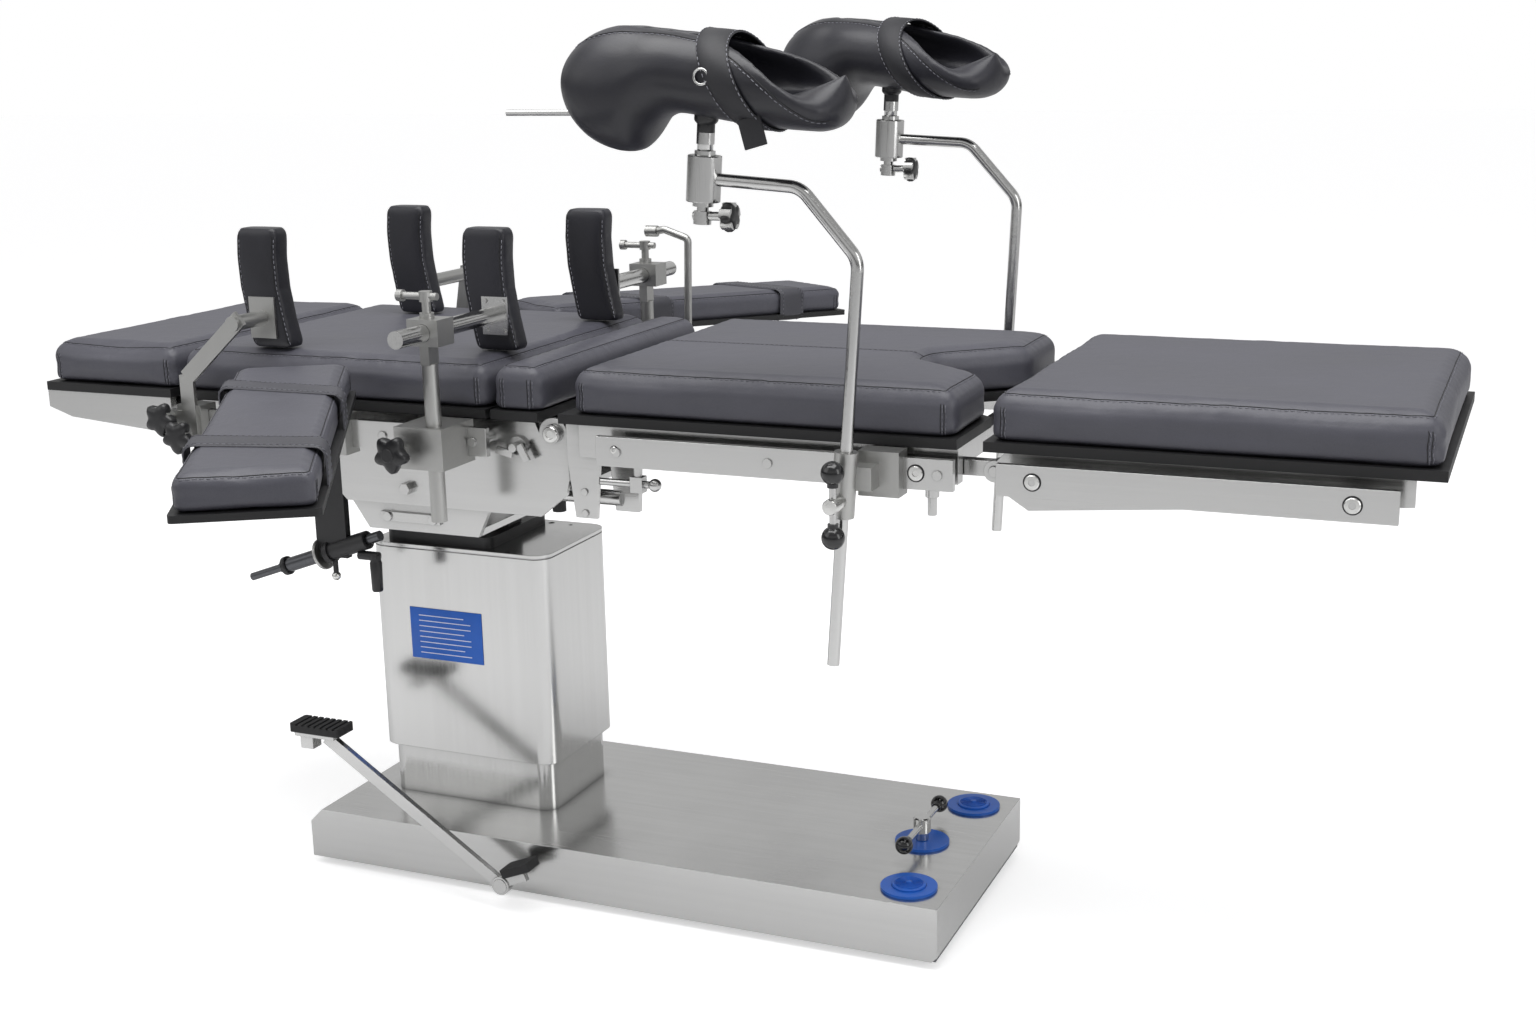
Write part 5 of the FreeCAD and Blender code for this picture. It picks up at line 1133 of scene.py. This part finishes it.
for place_name in ("front", "rear"):
    low, high = in_mm(f"foot_button_{place_name}")
    x, y = (low[0] + high[0]) / 2, (low[1] + high[1]) / 2
    profile = [(0.1, 52), (6, 52), (6, 86), (23.7, 86), (24, 87), (24, 97.5), (23, 99), (20.5, 99.4)]
    for ring in range(6):
        reach = 20.5 - ring * 2.6
        profile += [(reach - 0.4, 98.2), (reach - 1.2, 98.2), (reach - 1.6, 100.4), (reach - 2.2, 100.4)]
    profile += [(4.6, 99.0), (4.2, 101.0), (3.4, 101.4), (0.1, 101.4)]
    button = turned(f"foot_button_made_{place_name}", profile, (x, y, 0), (0, 0, 1), blue_plastic,
                    around=64, crisp=30)
    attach(button, f"foot_button_{place_name}")
    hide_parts(f"foot_button_{place_name}")
print("lock and buttons made")


# %% [markdown]
# ## The blue plate
# A thin blue anodised plate is riveted to the column. Where a real one carries text, this one has plain
# white lines, so that it belongs to no maker.

# %% Blue plate with plain lines
PLATE_LOW = (-493.0, 323.0)
PLATE_SIZE = (128.0, 82.0)
shroud_low, shroud_high = in_mm("upper_shroud")
face_y = shroud_low[1]
plate = small_block("column_plate", (PLATE_SIZE[0], 1.2, PLATE_SIZE[1]),
                    (PLATE_LOW[0] + PLATE_SIZE[0] / 2, face_y - 0.55, PLATE_LOW[1] + PLATE_SIZE[1] / 2),
                    blue_plastic, 0.4)
pieces = [plate]
for row in range(8):
    long = 92.0 if row % 3 else 80.0
    pieces.append(small_block(f"plate_line_{row}", (long, 0.3, 1.4),
                              (PLATE_LOW[0] + 16 + long / 2, face_y - 1.2, PLATE_LOW[1] + 70 - row * 8.6),
                              white_ink, 0.1))
plate = joined("column_plate_made", pieces)
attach(plate, "column")
print("plate lines", row + 1)


# %% [markdown]
# ## Rail screws
# Each rail is held by socket head screws sunk in a round recess. A screw is turned with its chamfer and
# a round hollow for the key, and a dark ring stands for the shadow in the recess round it.

# %% Socket screws
RAIL_FACE = 285.0


def socket_screw(name, place, side, radius):
    out = Vector((0, side, 0))
    ring = turned(f"{name}_ring", [(0.1, -0.2), (radius * 1.5, -0.2), (radius * 1.5, 0.5),
                                   (radius * 1.36, 0.8),
                                   (0.1, 0.8)], place, out, seam_shadow)
    head = turned(f"{name}_head", [(radius * 1.25, 0.2), (radius * 1.25, 1.9), (radius * 1.1, 2.8),
                                   (radius * 0.55, 3.0),
                                   (radius * 0.5, 1.2), (0.1, 1.2)], place, out, screw_steel, crisp=25)
    return [ring, head]


for body, node_name, spots in (
        ("seat", "seat_rails", ((-29, 720, 4.0), (394, 718, 7.6))),
        ("leg", "leg_frame", ((543, 717, 7.6), (919, 717, 7.6)))):
    for side in (-1, 1):
        pieces = []
        for number, (x, z, radius) in enumerate(spots):
            pieces += socket_screw(f"{node_name}_{side}_{number}", (x, side * RAIL_FACE, z), side, radius)
        screws = joined(f"{node_name}_screws_{'far' if side > 0 else 'near'}", pieces)
        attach(screws, body)
print("rail screws set")


# %% [markdown]
# ## Supports' metalwork
# The shoulder bars and the crutch stems carry black knobs, which the solids hold in one piece with the
# steel. The solids stay for the steel, and black caps with the true lobed form sit over the knobs.

# %% Shoulder knobs and stem knobs
for here, side, middle in (("near", -1, -712.0), ("far", 1, -627.0)):
    pieces = []
    for number, (shift, height, length) in enumerate(((-34, 31, 20), (-2, 8, 24))):
        foot = side * (275 + 25.0 + length)
        pieces.append(star(f"shoulder_star_{here}_{number}", (middle + shift, foot, 697 + height),
                           (0, side, 0), 26, 21,
                           turn=0.6 + number))
    knobs = joined(f"shoulder_knobs_{here}", pieces)
    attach(knobs, f"shoulder_{here}")
    place = crutch_place(side)
    low_point = place(-STEM_BACK, 0, 342 - 54 + 8)
    knob = star(f"stem_star_{here}", (low_point.x + 28.5, low_point.y, low_point.z), (1, 0, 0), 19.5, 17,
                turn=0.9)
    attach(knob, f"crutch_{here}")
print("support knobs made")

# %% Drive flange and collar
DRIVE_AT = (-553.0, -190.0, 514.0)
DRIVE_LEAN = math.radians(19.6)
shaft_way = Vector((math.cos(DRIVE_LEAN), 0, math.sin(DRIVE_LEAN)))


def down_shaft(distance):
    return Vector(DRIVE_AT) - shaft_way * distance


flange = turned("drive_flange_made", [(0.1, 0), (23, 0), (24, 1), (24, 4), (23, 5), (0.1, 5)], down_shaft(34),
                shaft_way, blasted)
collar = turned("drive_collar_made", [(0.1, 0), (13, 0), (14.5, 1.5), (14.5, 7.5), (13, 9), (0.1, 9)],
                down_shaft(109), shaft_way, knob_black)
grip = turned("drive_grip_made", [(0.1, 0), (7.4, 0), (8.4, 2), (9.2, 44), (8, 47), (0.1, 47)],
              (DRIVE_AT[0] + 64, DRIVE_AT[1], DRIVE_AT[2] - 60), (0, 0, 1), knob_black)
stop = turned("drive_stop_made", sphere_profile(7), (DRIVE_AT[0] - 9, DRIVE_AT[1], DRIVE_AT[2] - 43),
              (0, 0, 1),
              screw_steel, crisp=80)
for piece, body, node_name in ((joined("drive_fittings", [flange, grip, stop]), "main", "drive_bracket"),
                               (collar, "drive_shaft", "drive_shaft")):
    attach(piece, body)
print("drive dressed")

# %% Hinge bolts
def outer_face(node_name, x, z, side):
    """How far out a solid's skin lies at a place on its side, in millimetres."""
    skin = Surface(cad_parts[node_name])
    hit = skin.tree.ray_cast(Vector((x, side * 700.0, z)) * MM, Vector((0, -side, 0)))
    return hit[0].y / MM


HINGE_AT = (-147.0, 726.0)
BOLT_PROFILE = [(0.1, 0), (11.4, 0), (11.4, 1), (10.4, 2.2), (6.4, 2.6), (5.6, 1.0), (0.1, 1.0)]
for side in (-1, 1):
    here = "far" if side > 0 else "near"
    face = outer_face("side_plates", *HINGE_AT, side)
    bolts = turned(f"hinge_bolts_{here}", BOLT_PROFILE, (HINGE_AT[0], face, HINGE_AT[1]), (0, side, 0),
                   screw_steel, crisp=25)
    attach(bolts, "main")
print("hinge bolts set")


# %% [markdown]
# ## Floor, light and camera
# The studio is a white sweep: a pale floor that keeps a soft shadow, and a white world. Wide soft lamps
# stand above, to the left and to the right. The camera repeats the photograph's viewpoint: a 44.5 mm
# lens, standing about 2.7 m off at the leg end's near side, 1.24 m high, looking down a little.

# %% Floor
FLOOR_HALF = 30000
floor_paint, tree, shader = new_finish("studio_floor_white", Roughness=0.6, Base_Color=linear("#e9e9ea"))
rays = add_node(tree, "ShaderNodeLightPath")
mirrored = add_node(tree, "ShaderNodeMath", {0: rays.outputs["Is Glossy Ray"], 1: 0.15}, operation="MULTIPLY")
lift = add_node(tree, "ShaderNodeMath", {0: rays.outputs["Is Camera Ray"], 1: 0.55, 2: mirrored.outputs[0]},
                operation="MULTIPLY_ADD")
glow = add_node(tree, "ShaderNodeEmission", {"Color": (1, 1, 1, 1), "Strength": lift.outputs[0]})
both = add_node(tree, "ShaderNodeAddShader", {0: shader.outputs[0], 1: glow.outputs[0]})
tree.links.new(both.outputs[0], tree.nodes["Material Output"].inputs["Surface"])
floor = made_mesh("studio_floor", [(FLOOR_HALF * x, FLOOR_HALF * y, 0) for x, y in
                                   ((-1, -1), (1, -1), (1, 1), (-1, 1))], [(0, 1, 2, 3)], floor_paint)

# %% World
world = bpy.data.worlds.new("studio")
bpy.context.scene.world = world
world.use_nodes = True
tree = world.node_tree
back = tree.nodes["Background"]
rays = add_node(tree, "ShaderNodeLightPath")
seen = add_node(tree, "ShaderNodeMath", {0: rays.outputs["Is Camera Ray"],
                                         1: rays.outputs["Is Transmission Ray"]},
                operation="MAXIMUM")
way = add_node(tree, "ShaderNodeTexCoord")
parts = add_node(tree, "ShaderNodeSeparateXYZ", {"Vector": way.outputs["Generated"]})
walls = add_node(tree, "ShaderNodeValToRGB", {"Fac": parts.outputs["Z"]})
walls.color_ramp.elements[0].color = (0.16, 0.16, 0.16, 1)
walls.color_ramp.elements[1].position = 0.9
walls.color_ramp.elements[1].color = (0.55, 0.55, 0.55, 1)
for height, bright in ((0.1, 0.25), (0.22, 0.62), (0.45, 0.7), (0.6, 0.4)):
    stop = walls.color_ramp.elements.new(height)
    stop.color = (bright, bright, bright, 1)
plain = add_node(tree, "ShaderNodeSeparateColor", {"Color": walls.outputs["Color"]})
keep = add_node(tree, "ShaderNodeMath", {0: plain.outputs["Red"], 1: seen.outputs[0]}, operation="MAXIMUM")
tree.links.new(keep.outputs[0], back.inputs["Strength"])
back.inputs["Color"].default_value = (1, 1, 1, 1)
print("studio world set")


# %% Lamps
def soft_lamp(name, place, target, size, power):
    """A rectangular lamp at a place in metres, turned to a target."""
    lamp = set_all(bpy.data.lights.new(name, "AREA"), shape="RECTANGLE", size=size[0], size_y=size[1],
                   energy=power)
    turn = (Vector(target) - Vector(place)).to_track_quat("-Z", "Y").to_euler()
    set_all(shown(name, lamp), location=place, rotation_euler=turn)


soft_lamp("lamp_above", (0.0, -0.4, 3.4), (0.0, 0.0, 0.7), (3.2, 2.2), 92)
soft_lamp("lamp_left", (-2.8, -2.6, 3.0), (-0.2, 0.0, 0.7), (3.0, 3.0), 24)
soft_lamp("lamp_right", (3.4, -1.0, 1.8), (0.0, 0.0, 0.6), (1.2, 2.4), 22)
print("lamps set")

# %% Camera
LENS_AT = (1.1319, -2.4814, 1.2440)
YAW, PITCH, ROLL = math.radians(23.16), math.radians(13.91), math.radians(-1.13)
camera_data = set_all(bpy.data.cameras.new("photo_camera"), sensor_width=36.0, lens=44.46, clip_end=200)
camera = shown("photo_camera", camera_data)
ahead = Vector((-math.sin(YAW) * math.cos(PITCH), math.cos(YAW) * math.cos(PITCH), -math.sin(PITCH)))
right = Vector((math.cos(YAW), math.sin(YAW), 0))
up = right.cross(ahead)
right_rolled = right * math.cos(ROLL) + up * math.sin(ROLL)
up_rolled = -right * math.sin(ROLL) + up * math.cos(ROLL)
camera.matrix_world = Matrix([(right_rolled[axis], up_rolled[axis], -ahead[axis], LENS_AT[axis])
                              for axis in range(3)] + [(0, 0, 0, 1)])
bpy.context.scene.camera = camera
bpy.context.scene.view_settings.view_transform = "Standard"
print("camera at", [round(value, 3) for value in camera.matrix_world.translation])
